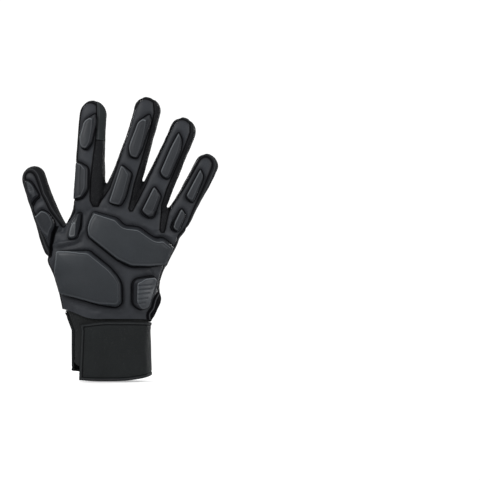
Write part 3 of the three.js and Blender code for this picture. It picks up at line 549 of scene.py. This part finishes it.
on_back = 1 / (1 + np.exp((front + 2) * 1.5))
lift = -SEAM_GROOVE * bump(back_field, SEAM_SPREAD)
lift += SEAM_LIP * bump(np.abs(back_field) - SEAM_LIP_AT, SEAM_SPREAD)
lift -= WALL_GROOVE * bump(side_field, WALL_SPREAD) * (back_field > 0)
lift -= on_back * PAD_GROOVE * bump(pad_field - PAD_GROOVE_AT, PAD_SPREAD) * (pad_field > -2)
lift -= on_back * fold_depth(x, z, BACK_CREASES)
lift -= (1 - on_back) * fold_depth(x, z, PALM_CREASES)
crumple = np.array([noise.fractal(Vector(p) * CRUMPLE_SCALE, 0.6, 2.0, 3) for p in skin_points])
lift += CRUMPLE_HEIGHT * crumple * (1 - bump(pad_field, 4) * on_back)


def cut(rows, faces, column):
    """Cuts faces along the line where a column changes sign: the rows, the faces below and those above."""
    value = rows[:, column].tolist()
    rows = [rows]
    count = len(value)
    made = {}
    below, above = [], []
    for face in faces:
        low = [value[i] < 0 for i in face]
        if all(low):
            below.append(face)
        elif not any(low):
            above.append(face)
        else:
            lower, upper = [], []
            for i, j in zip(face, face[1:] + face[:1]):
                (lower if value[i] < 0 else upper).append(i)
                if (value[i] < 0) != (value[j] < 0):
                    key = (min(i, j), max(i, j))
                    if key not in made:
                        made[key] = count + len(made)
                    lower.append(made[key])
                    upper.append(made[key])
            below.append(tuple(lower))
            above.append(tuple(upper))
    if made:
        ends = np.array(list(made))
        a, b = rows[0][ends[:, 0]], rows[0][ends[:, 1]]
        t = (a[:, column] / (a[:, column] - b[:, column]))[:, None]
        rows.append(a + (b - a) * t)
    return np.concatenate(rows), below, above


def used(rows, faces):
    """Only the rows that the faces use."""
    order = {}
    faces = [tuple(order.setdefault(i, len(order)) for i in face) for face in faces]
    return rows[list(order)], faces


def give_attribute(piece, name, values):
    attribute = piece.data.attributes.new(name, "FLOAT", "POINT")
    attribute.data.foreach_set("value", np.asarray(values, np.float32))


PANEL_WALL = 2
marks = {
    "back_seam": back_field,
    "side_seam": side_field,
    "pad_edge": pad_field,
    "grip_edge": grip_field,
    "thumb_shadow": outside(x, z, THUMB_SHADOW),
    "heel_edge": np.maximum(heel, front - 9),
    "heel_fade": 1 - np.clip((front - 1) / 6, 0, 1),
    "strip_edge": strip,
    "thumb_seam": np.where(front > 2, near_line(x, z, THUMB_SEAM), ELSEWHERE),
    "gusset_edge": np.where(front > 2, outside(x, z, WEB_GUSSET), ELSEWHERE),
}
columns = [skin_points + skin_normals * lift[:, None], back_field[:, None]]
columns += [field[:, None] for field in side_fields + list(marks.values())]
shell_rows = np.concatenate(columns, 1)
shell_rows, panel_faces, rest = cut(shell_rows, skin_faces, 3)
panels = {"back_panel": panel_faces}
for i, name in enumerate(SIDE_WALLS):
    shell_rows, panels[name], rest = cut(shell_rows, rest, 4 + i)
panels["palm_panel"] = rest

# The wrist seam, where the shell ends and the cuff starts: it dips on the back and runs up on the palm.
SEAM = dict(across=[-0.6, -0.36, -0.18, 0, 0.2, 0.38, 0.6],
            back=[0.09, 0.026, -0.048, -0.055, -0.055, -0.053, -0.06],
            front=[0.07, 0.016, -0.018, -0.04, -0.08, -0.12, -0.14])


def seam_height(x, y):
    back = smooth_curve(x / PALM_WIDTH, SEAM["across"], SEAM["back"])
    front = smooth_curve(x / PALM_WIDTH, SEAM["across"], SEAM["front"])
    deep = np.clip(y / PALM_DEPTH + 0.5, 0, 1)
    return CUFF_HEIGHT + (back + (front - back) * deep) * PALM_LENGTH


def group(name, inputs, outputs):
    """An empty shader node group with the given sockets."""
    tree = bpy.data.node_groups.new(name, "ShaderNodeTree")
    for socket, value in inputs.items():
        kind = "NodeSocketColor" if isinstance(value, tuple) else "NodeSocketFloat"
        tree.interface.new_socket(socket, in_out="INPUT", socket_type=kind).default_value = value
    for socket, kind in outputs.items():
        tree.interface.new_socket(socket, in_out="OUTPUT", socket_type=kind)
    return tree, tree.nodes.new("NodeGroupInput").outputs, tree.nodes.new("NodeGroupOutput").inputs


def math_node(tree, operation, a, b=0.0, clamp=False):
    return node(tree, "Math", {0: a, 1: b}, operation=operation, use_clamp=clamp).outputs[0]


def mix_node(tree, factor, a, b, blend="MIX"):
    return node(tree, "MixRGB", {"Fac": factor, "Color1": a, "Color2": b}, blend_type=blend).outputs[0]


# Leather grain: small cells with pinched borders over slower unevenness, and a patchy colour.
grain, grain_in, grain_out = group(
    "leather_grain",
    {"Cells": 900.0, "Color": (0.04, 0.04, 0.04, 1), "Patches": 0.15},
    {"Height": "NodeSocketFloat", "Color": "NodeSocketColor"},
)
coords = node(grain, "TexCoord").outputs["Object"]
cells = node(grain, "TexVoronoi", {"Vector": coords, "Scale": grain_in["Cells"]}, feature="SMOOTH_F1")
fine = node(grain, "TexNoise", {"Vector": coords, "Scale": 260.0, "Detail": 4.0})
slow = node(grain, "TexNoise", {"Vector": coords, "Scale": 28.0, "Detail": 3.0})
height = math_node(grain, "ADD", cells.outputs["Distance"], fine.outputs["Fac"])
grain.links.new(height, grain_out["Height"])
uneven = math_node(grain, "SUBTRACT", slow.outputs["Fac"], 0.5)
patch = math_node(grain, "MULTIPLY", uneven, grain_in["Patches"])
bright = math_node(grain, "ADD", math_node(grain, "MULTIPLY", patch, 4.0), 1.0)
tone = node(grain, "HueSaturation", {"Color": grain_in["Color"], "Value": bright})
grain.links.new(tone.outputs["Color"], grain_out["Color"])

# Weave: two crossed threads a fraction of a millimetre wide, with specks.
weave, weave_in, weave_out = group(
    "weave",
    {"Threads": 1600.0, "Color": (0.02, 0.02, 0.02, 1), "Specks": 0.3},
    {"Height": "NodeSocketFloat", "Color": "NodeSocketColor"},
)
coords = node(weave, "TexCoord").outputs["Object"]
scaled = node(weave, "VectorMath", {0: coords, "Scale": weave_in["Threads"]}, operation="SCALE").outputs[0]
axes = node(weave, "SeparateXYZ", {0: scaled}).outputs
warp = math_node(weave, "SINE", math_node(weave, "ADD", axes["X"], axes["Y"]))
weft = math_node(weave, "SINE", axes["Z"])
threads = math_node(weave, "MULTIPLY", warp, weft)
fuzz = node(weave, "TexNoise", {"Vector": coords, "Scale": 700.0, "Detail": 2.0}).outputs["Fac"]
weave.links.new(math_node(weave, "ADD", threads, fuzz), weave_out["Height"])
speck = node(weave, "TexNoise", {"Vector": coords, "Scale": 2200.0, "Detail": 1.0}).outputs["Fac"]
speck = math_node(weave, "MULTIPLY", math_node(weave, "SUBTRACT", speck, 0.62, True), weave_in["Specks"])
slow = node(weave, "TexNoise", {"Vector": coords, "Scale": 40.0, "Detail": 3.0}).outputs["Fac"]
bright = math_node(weave, "ADD", math_node(weave, "MULTIPLY", slow, 0.5), 0.75)
tone = node(weave, "HueSaturation", {"Color": weave_in["Color"], "Value": bright}).outputs["Color"]
weave.links.new(mix_node(weave, speck, tone, (0.3, 0.3, 0.3, 1)), weave_out["Color"])


# A line drawn where an attribute, in millimetres, has a given value, and an area where it is negative.
line_mask, line_in, line_out = group(
    "line_mask", {"Distance": 0.0, "At": 0.0, "Width": 1.0, "Weight": 1.0}, {"Mask": "NodeSocketFloat"})
away = math_node(line_mask, "ABSOLUTE", math_node(line_mask, "SUBTRACT", line_in["Distance"], line_in["At"]))
core = math_node(line_mask, "MULTIPLY", line_in["Width"], 0.2)
line_mask.links.new(
    node(line_mask, "MapRange", {0: away, 1: core, 2: line_in["Width"], 3: line_in["Weight"], 4: 0.0},
         interpolation_type="SMOOTHSTEP").outputs[0], line_out["Mask"])
area_mask, area_in, area_out = group(
    "area_mask", {"Distance": 0.0, "At": 0.0, "Soft": 0.6, "Weight": 1.0}, {"Mask": "NodeSocketFloat"})
far_edge = math_node(area_mask, "ADD", area_in["At"], area_in["Soft"])
area_mask.links.new(
    node(area_mask, "MapRange",
         {0: area_in["Distance"], 1: area_in["At"], 2: far_edge, 3: area_in["Weight"], 4: 0.0},
         interpolation_type="SMOOTHSTEP").outputs[0], area_out["Mask"])


LINE_RELIEF = 1.5


def finish_material(name, pattern, values, depth, roughness, areas=(), lines=(), specular=0.5):
    """A material from a pattern group, with areas and lines tinted by mesh attributes. An area is (attribute,
    at, soft, tint, weight), a line (attribute, at, width, tint, weight); one more attribute may scale it."""
    material = bpy.data.materials.new(name)
    material.use_nodes = True
    tree = material.node_tree
    shader = tree.nodes["Principled BSDF"]
    shader.inputs["Roughness"].default_value = roughness
    made = node(tree, "Group", values, node_tree=pattern)
    color, height = made.outputs["Color"], made.outputs["Height"]
    shine = specular
    for kind, marks in ((area_mask, areas), (line_mask, lines)):
        for attribute, at, reach, tint, weight, *scale in marks:
            distance = node(tree, "Attribute", attribute_name=attribute).outputs["Fac"]
            size = "Soft" if kind is area_mask else "Width"
            mask = node(tree, "Group", {"Distance": distance, "At": at, size: reach, "Weight": weight},
                        node_tree=kind).outputs["Mask"]
            for other in scale:
                share = node(tree, "Attribute", attribute_name=other).outputs["Fac"]
                mask = math_node(tree, "MULTIPLY", mask, share)
            color = mix_node(tree, mask, color, tint)
            if tint is BLACK or kind is area_mask:
                shine = math_node(tree, "MULTIPLY", shine, math_node(tree, "SUBTRACT", 1.0, mask))
            if kind is line_mask and tint is BLACK:
                height = math_node(tree, "SUBTRACT", height, math_node(tree, "MULTIPLY", mask, LINE_RELIEF))
    if isinstance(shine, float):
        shader.inputs["Specular IOR Level"].default_value = shine
    else:
        tree.links.new(shine, shader.inputs["Specular IOR Level"])
    tree.links.new(color, shader.inputs["Base Color"])
    bumped = node(tree, "Bump", {"Height": height, "Strength": 1.0, "Distance": depth * MM})
    tree.links.new(bumped.outputs["Normal"], shader.inputs["Normal"])
    return material


BLACK = (0.0025, 0.0025, 0.003, 1)
# Painted shade: the tint below darkens skin round pads, seam edges and sides turned from the light.
PAINTED_SHADE = (0.005, 0.0052, 0.006, 1)
PALE = (0.11, 0.12, 0.13, 1)
GREY = (0.045, 0.047, 0.05, 1)
# The back leather's colour carries painted shade: a darker band round each pad, a black painted shadow beside
# the thumb's base pad, a band of painted shade along the edge seam round its dark seam line, and a black
# painted crease shadow round each pad.
back_leather = finish_material(
    "back_leather", grain, {"Cells": 900.0, "Color": (0.0185, 0.0205, 0.0248, 1)}, 0.05, 0.6,
    areas=[("pad_edge", 0.0, 6.0, PAINTED_SHADE, 0.3), ("thumb_shadow", -0.3, 0.9, BLACK, 0.93)],
    lines=[("back_seam", 0.0, 2.2, PAINTED_SHADE, 0.5), ("back_seam", 0.0, 1.1, BLACK, 0.9),
           ("pad_edge", 0.5, 0.9, BLACK, 0.9)], specular=0.25)
# On the palm cloth, the heel on the little finger's side is painted almost black where it bulges past the back
# panel: painted shade.
palm_cloth = finish_material(
    "palm_microfibre", grain, {"Cells": 1500.0, "Color": (0.0062, 0.0068, 0.0081, 1), "Patches": 0.3},
    0.06, 0.85,
    areas=[("heel_edge", -0.4, 5.0, BLACK, 0.95), ("gusset_edge", -0.3, 0.5, (0.055, 0.059, 0.063, 1), 0.9),
           ("strip_edge", -0.6, 0.6, (0.021, 0.0235, 0.0245, 1), 0.9)],
    lines=[("back_seam", 0.0, 1.1, BLACK, 0.85), ("back_seam", 2.3, 0.8, GREY, 0.45),
           ("side_seam", 0.0, 0.9, BLACK, 0.8), ("grip_edge", 0.6, 0.9, BLACK, 0.7),
           ("thumb_seam", 0.0, 0.9, BLACK, 0.85), ("gusset_edge", 0.0, 0.5, BLACK, 0.7),
           ("heel_edge", -2.4, 0.5, GREY, 0.6, "heel_fade"), ("strip_edge", -0.9, 0.5, PALE, 0.12)],
    specular=0.15)
mesh_cloth = finish_material(
    "side_mesh", weave, {"Threads": 5200.0, "Color": (0.0034, 0.0038, 0.0052, 1), "Specks": 0.7}, 0.12, 0.75,
    lines=[("back_seam", 0.0, 1.0, BLACK, 0.7), ("side_seam", 0.0, 0.9, BLACK, 0.7)], specular=0.2)


SHARP_ANGLE = 62
MERGE_GAP = 0.15


def finish_piece(piece, name, material, slot, *nodes):
    """Smooth faces, material, and the piece's place in the frame."""
    piece.name = name
    piece.data.name = name
    piece.data.materials.clear()
    piece.data.materials.append(material)
    piece.data.shade_smooth()
    piece.data.set_sharp_from_angle(angle=math.radians(SHARP_ANGLE))
    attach(piece, "root")
    if nodes:
        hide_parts(*nodes)


def merge_close(distance):
    """Merges the active piece's points that lie closer than a distance in millimetres."""
    bpy.ops.object.mode_set(mode="EDIT")
    bpy.ops.mesh.select_all(action="SELECT")
    bpy.ops.mesh.remove_doubles(threshold=distance * MM)
    bpy.ops.mesh.dissolve_degenerate(threshold=0.02 * MM)
    bpy.ops.object.mode_set(mode="OBJECT")


def trim_below_seam(rows, faces):
    """Cuts a panel off at the wrist seam."""
    above = rows[:, 2] - seam_height(rows[:, 0], rows[:, 1])
    rows, _, kept = cut(np.column_stack([rows, above]), faces, rows.shape[1])
    return used(rows, kept)


panel_looks = {
    "back_panel": (back_leather, "back", ["back_panel"]),
    "palm_panel": (palm_cloth, "palm", ["palm_panel"] + [name + "_front" for name in DIGITS]),
    "side_index_middle": (mesh_cloth, "mesh", ["side_index_middle"]),
    "side_middle_ring": (mesh_cloth, "mesh", ["side_middle_ring"]),
    "side_ring_little": (mesh_cloth, "mesh", ["side_ring_little"]),
}
for name, (material, slot, nodes) in panel_looks.items():
    rows, faces = trim_below_seam(shell_rows, panels[name])
    panel = new_piece(name + "_shell", rows[:, :3], faces)
    for column, attribute in enumerate(marks, 4 + len(SIDE_WALLS)):
        give_attribute(panel, attribute, rows[:, column])
    merge_close(MERGE_GAP)
    apply_modifier(panel, "SOLIDIFY", thickness=PANEL_WALL * MM, offset=-1)
    finish_piece(panel, "sewn_" + name, material, slot, *nodes)

# The pads on the back are moulded over foam: a flat top inside a bevelled side that ends in a deep crease.
# Their colour adds a painted highlight along the top's rim, strongest where it faces up and left, painted
# shade on the bevelled sides and where a pad turns sideways, and a black painted shadow in the crease. They
# are bonded on the back panel.
PAD_MARKS = dict(
    areas=[("side", 0.0, 0.5, (0.009, 0.0095, 0.0115, 1), 0.85, "shaded"),
           ("facing", 0.42, 0.36, PAINTED_SHADE, 0.8)],
    lines=[("inward", 0.0, 1.0, BLACK, 0.92), ("rim", 0.2, 0.6, PALE, 0.7, "lit")])
pad_leather, finger_pad_leather, dark_pad_leather, bright_pad_leather = (
    finish_material(
        name, grain, {"Cells": 700.0, "Color": tint}, 0.04, roughness, specular=specular, **PAD_MARKS)
    for name, tint, roughness, specular in (
        ("pad_leather", (0.0178, 0.0208, 0.0246, 1), 0.48, 0.3),
        ("finger_pad_leather", (0.0188, 0.0208, 0.0243, 1), 0.48, 0.3),
        ("dark_pad_leather", (0.0125, 0.0142, 0.0172, 1), 0.5, 0.2),
        ("bright_pad_leather", (0.031, 0.034, 0.039, 1), 0.45, 0.3),
    ))
# Each pad's height, its bevel at its narrow and at its wide sides, the direction that its wide side faces,
# and how much painted shade its sides get there.
PADS = {
    "knuckle_pad": (5, 1.6, 3.6, (0.5, 0.87), 0.75, pad_leather),
    "hand_pad": (5, 1.6, 3.4, (0.87, 0.5), 0.5, pad_leather),
    "wrist_pad": (4.5, 1.3, 3.8, (-1, 0.1), 1.0, bright_pad_leather),
    "index_knuckle_pad": (3.0, 2.2, 5.5, (1, 0.1), 1.0, pad_leather),
    "thumb_tip_pad": (3.6, 1.6, 2.6, (0.6, -0.8), 1.0, dark_pad_leather),
    "thumb_base_pad": (4.4, 1.6, 2.8, (1, -0.3), 0.6, dark_pad_leather),
    "index_tip_pad": (3.6, 1.2, 3.6, (1, -0.1), 0.7, finger_pad_leather),
    "index_base_pad": (3.6, 1.2, 3.0, (1, 0), 0.5, finger_pad_leather),
    "middle_tip_pad": (3.6, 1.2, 4.0, (0.97, -0.2), 0.7, finger_pad_leather),
    "middle_base_pad": (3.6, 1.2, 3.6, (0.97, -0.2), 0.6, finger_pad_leather),
    "ring_tip_pad": (3.6, 1.2, 3.4, (0.93, -0.35), 0.6, finger_pad_leather),
    "ring_base_pad": (3.6, 1.2, 3.4, (0.93, -0.35), 0.6, finger_pad_leather),
    "little_tip_pad": (3.2, 1.2, 2.4, (0.87, -0.5), 0.6, finger_pad_leather),
    "little_base_pad": (3.2, 1.2, 2.4, (0.87, -0.5), 0.6, finger_pad_leather),
}
# Moulded grooves in the pads' tops: plain ribs at the wrist and one line along the index finger.
PAD_GROOVES = {
    "index_base_pad": [digit_outline("index", (0.17, -0.26), (0.43, -0.25))],
    "wrist_pad": [
        hand_outline((0.235, up), (0.235 + reach, up + 0.012))
        for up, reach in ((0.27, 0.11), (0.225, 0.1), (0.18, 0.085), (0.135, 0.07), (0.095, 0.05))],
}


def skin_patch(name, field):
    """A piece of the bare skin where a field is negative, with twice as fine a mesh."""
    rows = np.concatenate([skin_points, field[:, None]], 1)
    rows, faces, _ = cut(rows, skin_faces, 3)
    rows, faces = used(rows, faces)
    patch = new_piece(name + "_patch", rows[:, :3], faces)
    merge_close(MERGE_GAP)
    apply_modifier(patch, "SUBSURF", levels=1, render_levels=1)
    return patch


def raise_patch(patch, name, base, heights):
    """Closes a patch into a pad: its top stands the given heights over its base."""
    points, normals, faces = read_mesh(patch)
    bpy.data.objects.remove(patch)
    edges = {}
    for face in faces:
        for i, j in zip(face, face[1:] + face[:1]):
            edges[(min(i, j), max(i, j))] = edges.get((min(i, j), max(i, j)), 0) + 1
    border = sorted({i for edge, count in edges.items() if count == 1 for i in edge})
    floor_points = points + normals * np.reshape(base, (-1, 1))
    top = floor_points + normals * heights[:, None]
    top[border] = floor_points[border]
    under = {i: i for i in border}
    inner = [i for i in range(len(points)) if i not in under]
    under.update({i: len(points) + k for k, i in enumerate(inner)})
    bottom = floor_points[inner]
    lower = [tuple(under[i] for i in reversed(face)) for face in faces]
    return new_piece(name, np.concatenate([top, bottom]), faces + lower), len(inner)


def smooth_step(value, low, high):
    t = np.clip((value - low) / (high - low), 0, 1)
    return t * t * (3 - 2 * t)


for name, (height, narrow, wide, toward, painted_side_shade, leather) in PADS.items():
    outline = PAD_OUTLINES[name]

    def field_at(x, y, z):
        return np.maximum(outside(x, z, outline), y - parting_depth(x, z) + BACK_EDGE + 0.5)

    patch = skin_patch(name, field_at(*skin_points.T))
    points, normals, _ = read_mesh(patch)
    x, y, z = points.T
    inward = -field_at(x, y, z)
    out_x = -field_at(x - 0.3, y, z) - inward
    out_z = -field_at(x, y, z - 0.3) - inward
    out_x, out_z = np.array([out_x, out_z]) / (np.hypot(out_x, out_z) + 1e-6)
    along_wide = np.clip(out_x * toward[0] + out_z * toward[1], 0, 1)
    aside = x * toward[0] + z * toward[1]
    share = (aside - aside.min()) / (aside.max() - aside.min())
    bevel = narrow + (wide - narrow) * smooth_step(share, 0.45, 0.75)
    rise = np.clip(inward / bevel, 0, 1)
    heights = height * (1 - (1 - rise) ** 2.2) ** (1 / 1.5)
    heights += 0.5 * (1 - bump(np.clip(inward - bevel, 0, None), 9)) - 0.2 * bump(inward - bevel - 1.3, 1.0)
    for groove in PAD_GROOVES.get(name, []):
        heights -= 0.8 * bump(near_line(x, z, groove), 0.55)
    facing = smooth_step(-normals[:, 1], 0.3, 0.85)
    heights *= 0.1 + 0.9 * facing
    pad, doubled = raise_patch(patch, name, 0.2, heights)
    for attribute, values in (
        ("inward", inward),
        ("side", inward - bevel + 0.3),
        ("rim", inward - bevel),
        ("facing", -normals[:, 1]),
        ("lit", facing * (0.15 + 0.85 * np.clip(-0.4 * out_x + 0.92 * out_z, 0, 1))),
        ("shaded", painted_side_shade * (0.35 + 0.65 * along_wide)),
    ):
        give_attribute(pad, attribute, np.concatenate([values, np.zeros(doubled)]))
    finish_piece(pad, "moulded_" + name, leather, "pad", name)

# The grips on the palm are glossy silicone, each cast on a grey base that is bonded on the cloth and whose
# edge shows all round. The large one has a curled groove between its two lobes.
grip_gloss = finish_material(
    "grip_gloss", grain, {"Cells": 60.0, "Color": (0.002, 0.002, 0.0022, 1), "Patches": 0.0}, 0.02, 0.07,
    specular=0.4)
base_leather = finish_material(
    "grip_base_leather", grain, {"Cells": 900.0, "Color": (0.05, 0.053, 0.058, 1)}, 0.03, 0.35)
GRIP_GROOVE = hand_outline((-0.03, 0.53), (0.0, 0.47), (0.02, 0.43), (0.07, 0.38), (0.13, 0.33), (0.15, 0.36))
GRIP_EDGE = 7.5
for name, outline in GRIP_OUTLINES.items():
    for part, base, height, inset, bevel, material, slot in (
        (name + "_base", 0.3, 1.3, 0, 1.0, base_leather, "grip_base"),
        (name, 1.9, 2.4, 2.0, 3.4, grip_gloss, "grip"),
    ):
        def field_at(x, y, z):
            return np.maximum(outside(x, z, outline) + inset, parting_depth(x, z) + GRIP_EDGE - y)

        patch = skin_patch(part, field_at(*skin_points.T))
        points, normals, _ = read_mesh(patch)
        inward = -field_at(*points.T)
        rise = np.clip(inward / bevel, 0, 1)
        heights = height * np.sqrt(1 - (1 - rise) ** 2)
        if part == name:
            heights += 2.2 * (1 - bump(inward, 11))
            groove = bump(near_line(points[:, 0], points[:, 2], GRIP_GROOVE), 1.8)
            heights -= 1.3 * groove * (name == "large_grip")
        facing = 0.12 + 0.88 * smooth_step(normals[:, 1], 0.25, 0.7)
        grip, _ = raise_patch(patch, part, base * facing, heights * facing)
        finish_piece(grip, "cast_" + part, material, slot, part)

# The cuff: an inner elastic band that is sewn inside the shell, and a wider strap that wraps round it and
# closes on the back, with its free edge on the thumb's side. Both are knitted elastic with turned hems.
CUFF_WIDTH = 70
CUFF_DEPTH = 39
CUFF_SHIFT = 0.2
CUFF_SECTIONS = dict(at=[0, 0.74, 1.2], wide=[1.02, 1, 1.2], deep=[1.03, 1, 0.98], aside=[0.01, 0, -0.04])
STRAP = dict(turn=[45, 75, 105, 135, 180, 255, 340, 360],
             foot=[0.01, 0, 0.005, 0.035, 0.085, 0.075, 0.128, 0.14],
             fall=[0.12, 0.05, 0.04, 0.04, 0.03, 0.012, 0.012, 0.01])
STRAP_WALL = 2.2
BAND_WALL = 1.8
MOUTH_LIFT = 12


def on_cuff(turn, z, out):
    """Points of the cuff; turn in degrees from -X over the back of the hand."""
    wide, deep, aside = (
        np.interp(z / CUFF_HEIGHT, CUFF_SECTIONS["at"], CUFF_SECTIONS[key])
        for key in ("wide", "deep", "aside"))
    unit_x, unit_y = squared_round(np.radians(turn))
    x = CUFF_SHIFT + aside * CUFF_WIDTH - unit_x * (CUFF_WIDTH / 2 * wide + out)
    return np.stack([x, -unit_y * (CUFF_DEPTH / 2 * deep + out), z + 0 * x], -1)


elastic = finish_material(
    "cuff_elastic", weave, {"Threads": 5200.0, "Color": (0.0072, 0.0088, 0.0094, 1), "Specks": 0.5}, 0.1, 0.8,
    lines=[("border", 3.0, 0.8, BLACK, 0.75), ("border", 1.7, 0.7, GREY, 0.2),
           ("border", 0.0, 0.7, BLACK, 0.6)], specular=0.2)
band_elastic = finish_material(
    "band_elastic", weave, {"Threads": 5200.0, "Color": (0.0102, 0.0112, 0.0115, 1), "Specks": 0.4}, 0.1, 0.85,
    specular=0.15)

turns = np.linspace(0, 360, 145)[:-1]


def thumb_flare(turns, z):
    """How much the cuff widens towards the hand on the thumb's side."""
    reach = np.minimum(turns, 360 - turns)
    return 0.6 * bump(reach, 40) * smooth_step(z, 44, 64) * (1 - smooth_step(z, 68, 71))


mouth = MOUTH_LIFT + 5 * bump(np.minimum(turns, 360 - turns), 32)
rows = []
for level in np.linspace(0, 1, 40):
    z = mouth + (CUFF_HEIGHT + 8 - mouth) * level
    ribs = 0.12 * np.sin(np.radians(turns * 40))
    hem = 0.35 * bump(z - mouth - 1.2, 1.0) - 0.3 * bump(z - mouth - 4, 0.8)
    rows.append(on_cuff(turns, z, -0.35 + ribs + hem + thumb_flare(turns, z)))
band = new_piece("band_tube", np.concatenate(rows), tube_faces(len(rows), len(turns), capped=False))
face_outward()
apply_modifier(band, "SOLIDIFY", thickness=BAND_WALL * MM, offset=-1)
finish_piece(band, "knitted_cuff_band", band_elastic, "cuff", "cuff_band")

strap_turns = np.linspace(STRAP["turn"][0], STRAP["turn"][-1], 190)
levels = np.linspace(0, 1, 50)
foot = smooth_curve(strap_turns, STRAP["turn"], STRAP["foot"]) * CUFF_HEIGHT
fall = smooth_curve(strap_turns, STRAP["turn"], STRAP["fall"]) * CUFF_HEIGHT
edge = on_cuff(strap_turns, np.full_like(strap_turns, CUFF_HEIGHT * 0.74), 0)
top = seam_height(edge[:, 0], edge[:, 1]) - fall
grid = []
borders = []
for level in levels:
    z = foot + (top - foot) * level
    low, high = z - foot, top - z
    from_edge = (strap_turns - strap_turns[0]) * 0.45
    border = np.minimum(np.minimum(low, high), from_edge)
    out = 0.3 + STRAP_WALL - 0.45 * bump(border - 3, 0.7) + 0.2 * bump(border - 1.3, 1.0)
    wave = np.array([noise.noise(Vector((t * 0.05, h * 0.05, 3))) for t, h in zip(strap_turns, z)])
    turned = strap_turns - 6 * (1 - level) * bump(strap_turns - STRAP["turn"][0], 30) + 1
    grid.append(on_cuff(turned, z, out + 0.35 * wave + thumb_flare(strap_turns, z)))
    borders.append(border)
strap = new_piece(
    "strap_strip", np.concatenate(grid), tube_faces(len(levels), len(strap_turns), capped=False, closed=False))
give_attribute(strap, "border", np.concatenate(borders))
face_outward()
apply_modifier(strap, "SOLIDIFY", thickness=STRAP_WALL * MM, offset=-1)
finish_piece(strap, "knitted_cuff_strap", elastic, "cuff", "cuff_strap")

# The piping is a corded strip of grey cloth, about two millimetres thick. It is sewn into the wrist seam on
# the palm's side, between the shell and the strap.
PIPING_RADIUS = 0.9
PIPING_OFFSET = 1.2
piping_cloth = finish_material(
    "piping_cloth", weave, {"Threads": 2600.0, "Color": (0.075, 0.08, 0.085, 1)}, 0.06, 0.7)
piping_turns = np.linspace(190, 357, 120)
guess = on_cuff(piping_turns, np.full_like(piping_turns, float(CUFF_HEIGHT)), PIPING_OFFSET)
line = on_cuff(piping_turns, seam_height(guess[:, 0], guess[:, 1]), PIPING_OFFSET)
line[:, 2] = seam_height(line[:, 0], line[:, 1]) - PIPING_OFFSET
tangent = np.gradient(line, axis=0)
tangent /= np.linalg.norm(tangent, axis=1)[:, None]
side = np.cross(tangent, (0, 0, 1))
side /= np.linalg.norm(side, axis=1)[:, None]
rise = np.cross(side, tangent)
circle = np.linspace(0, 2 * np.pi, 12, endpoint=False)
rings = line[:, None] + PIPING_RADIUS * (
    np.cos(circle)[None, :, None] * side[:, None] + np.sin(circle)[None, :, None] * rise[:, None])
piping = closed_tube("piping_cord", rings)
face_outward()
finish_piece(piping, "corded_wrist_piping", piping_cloth, "piping", "wrist_piping")

low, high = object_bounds()
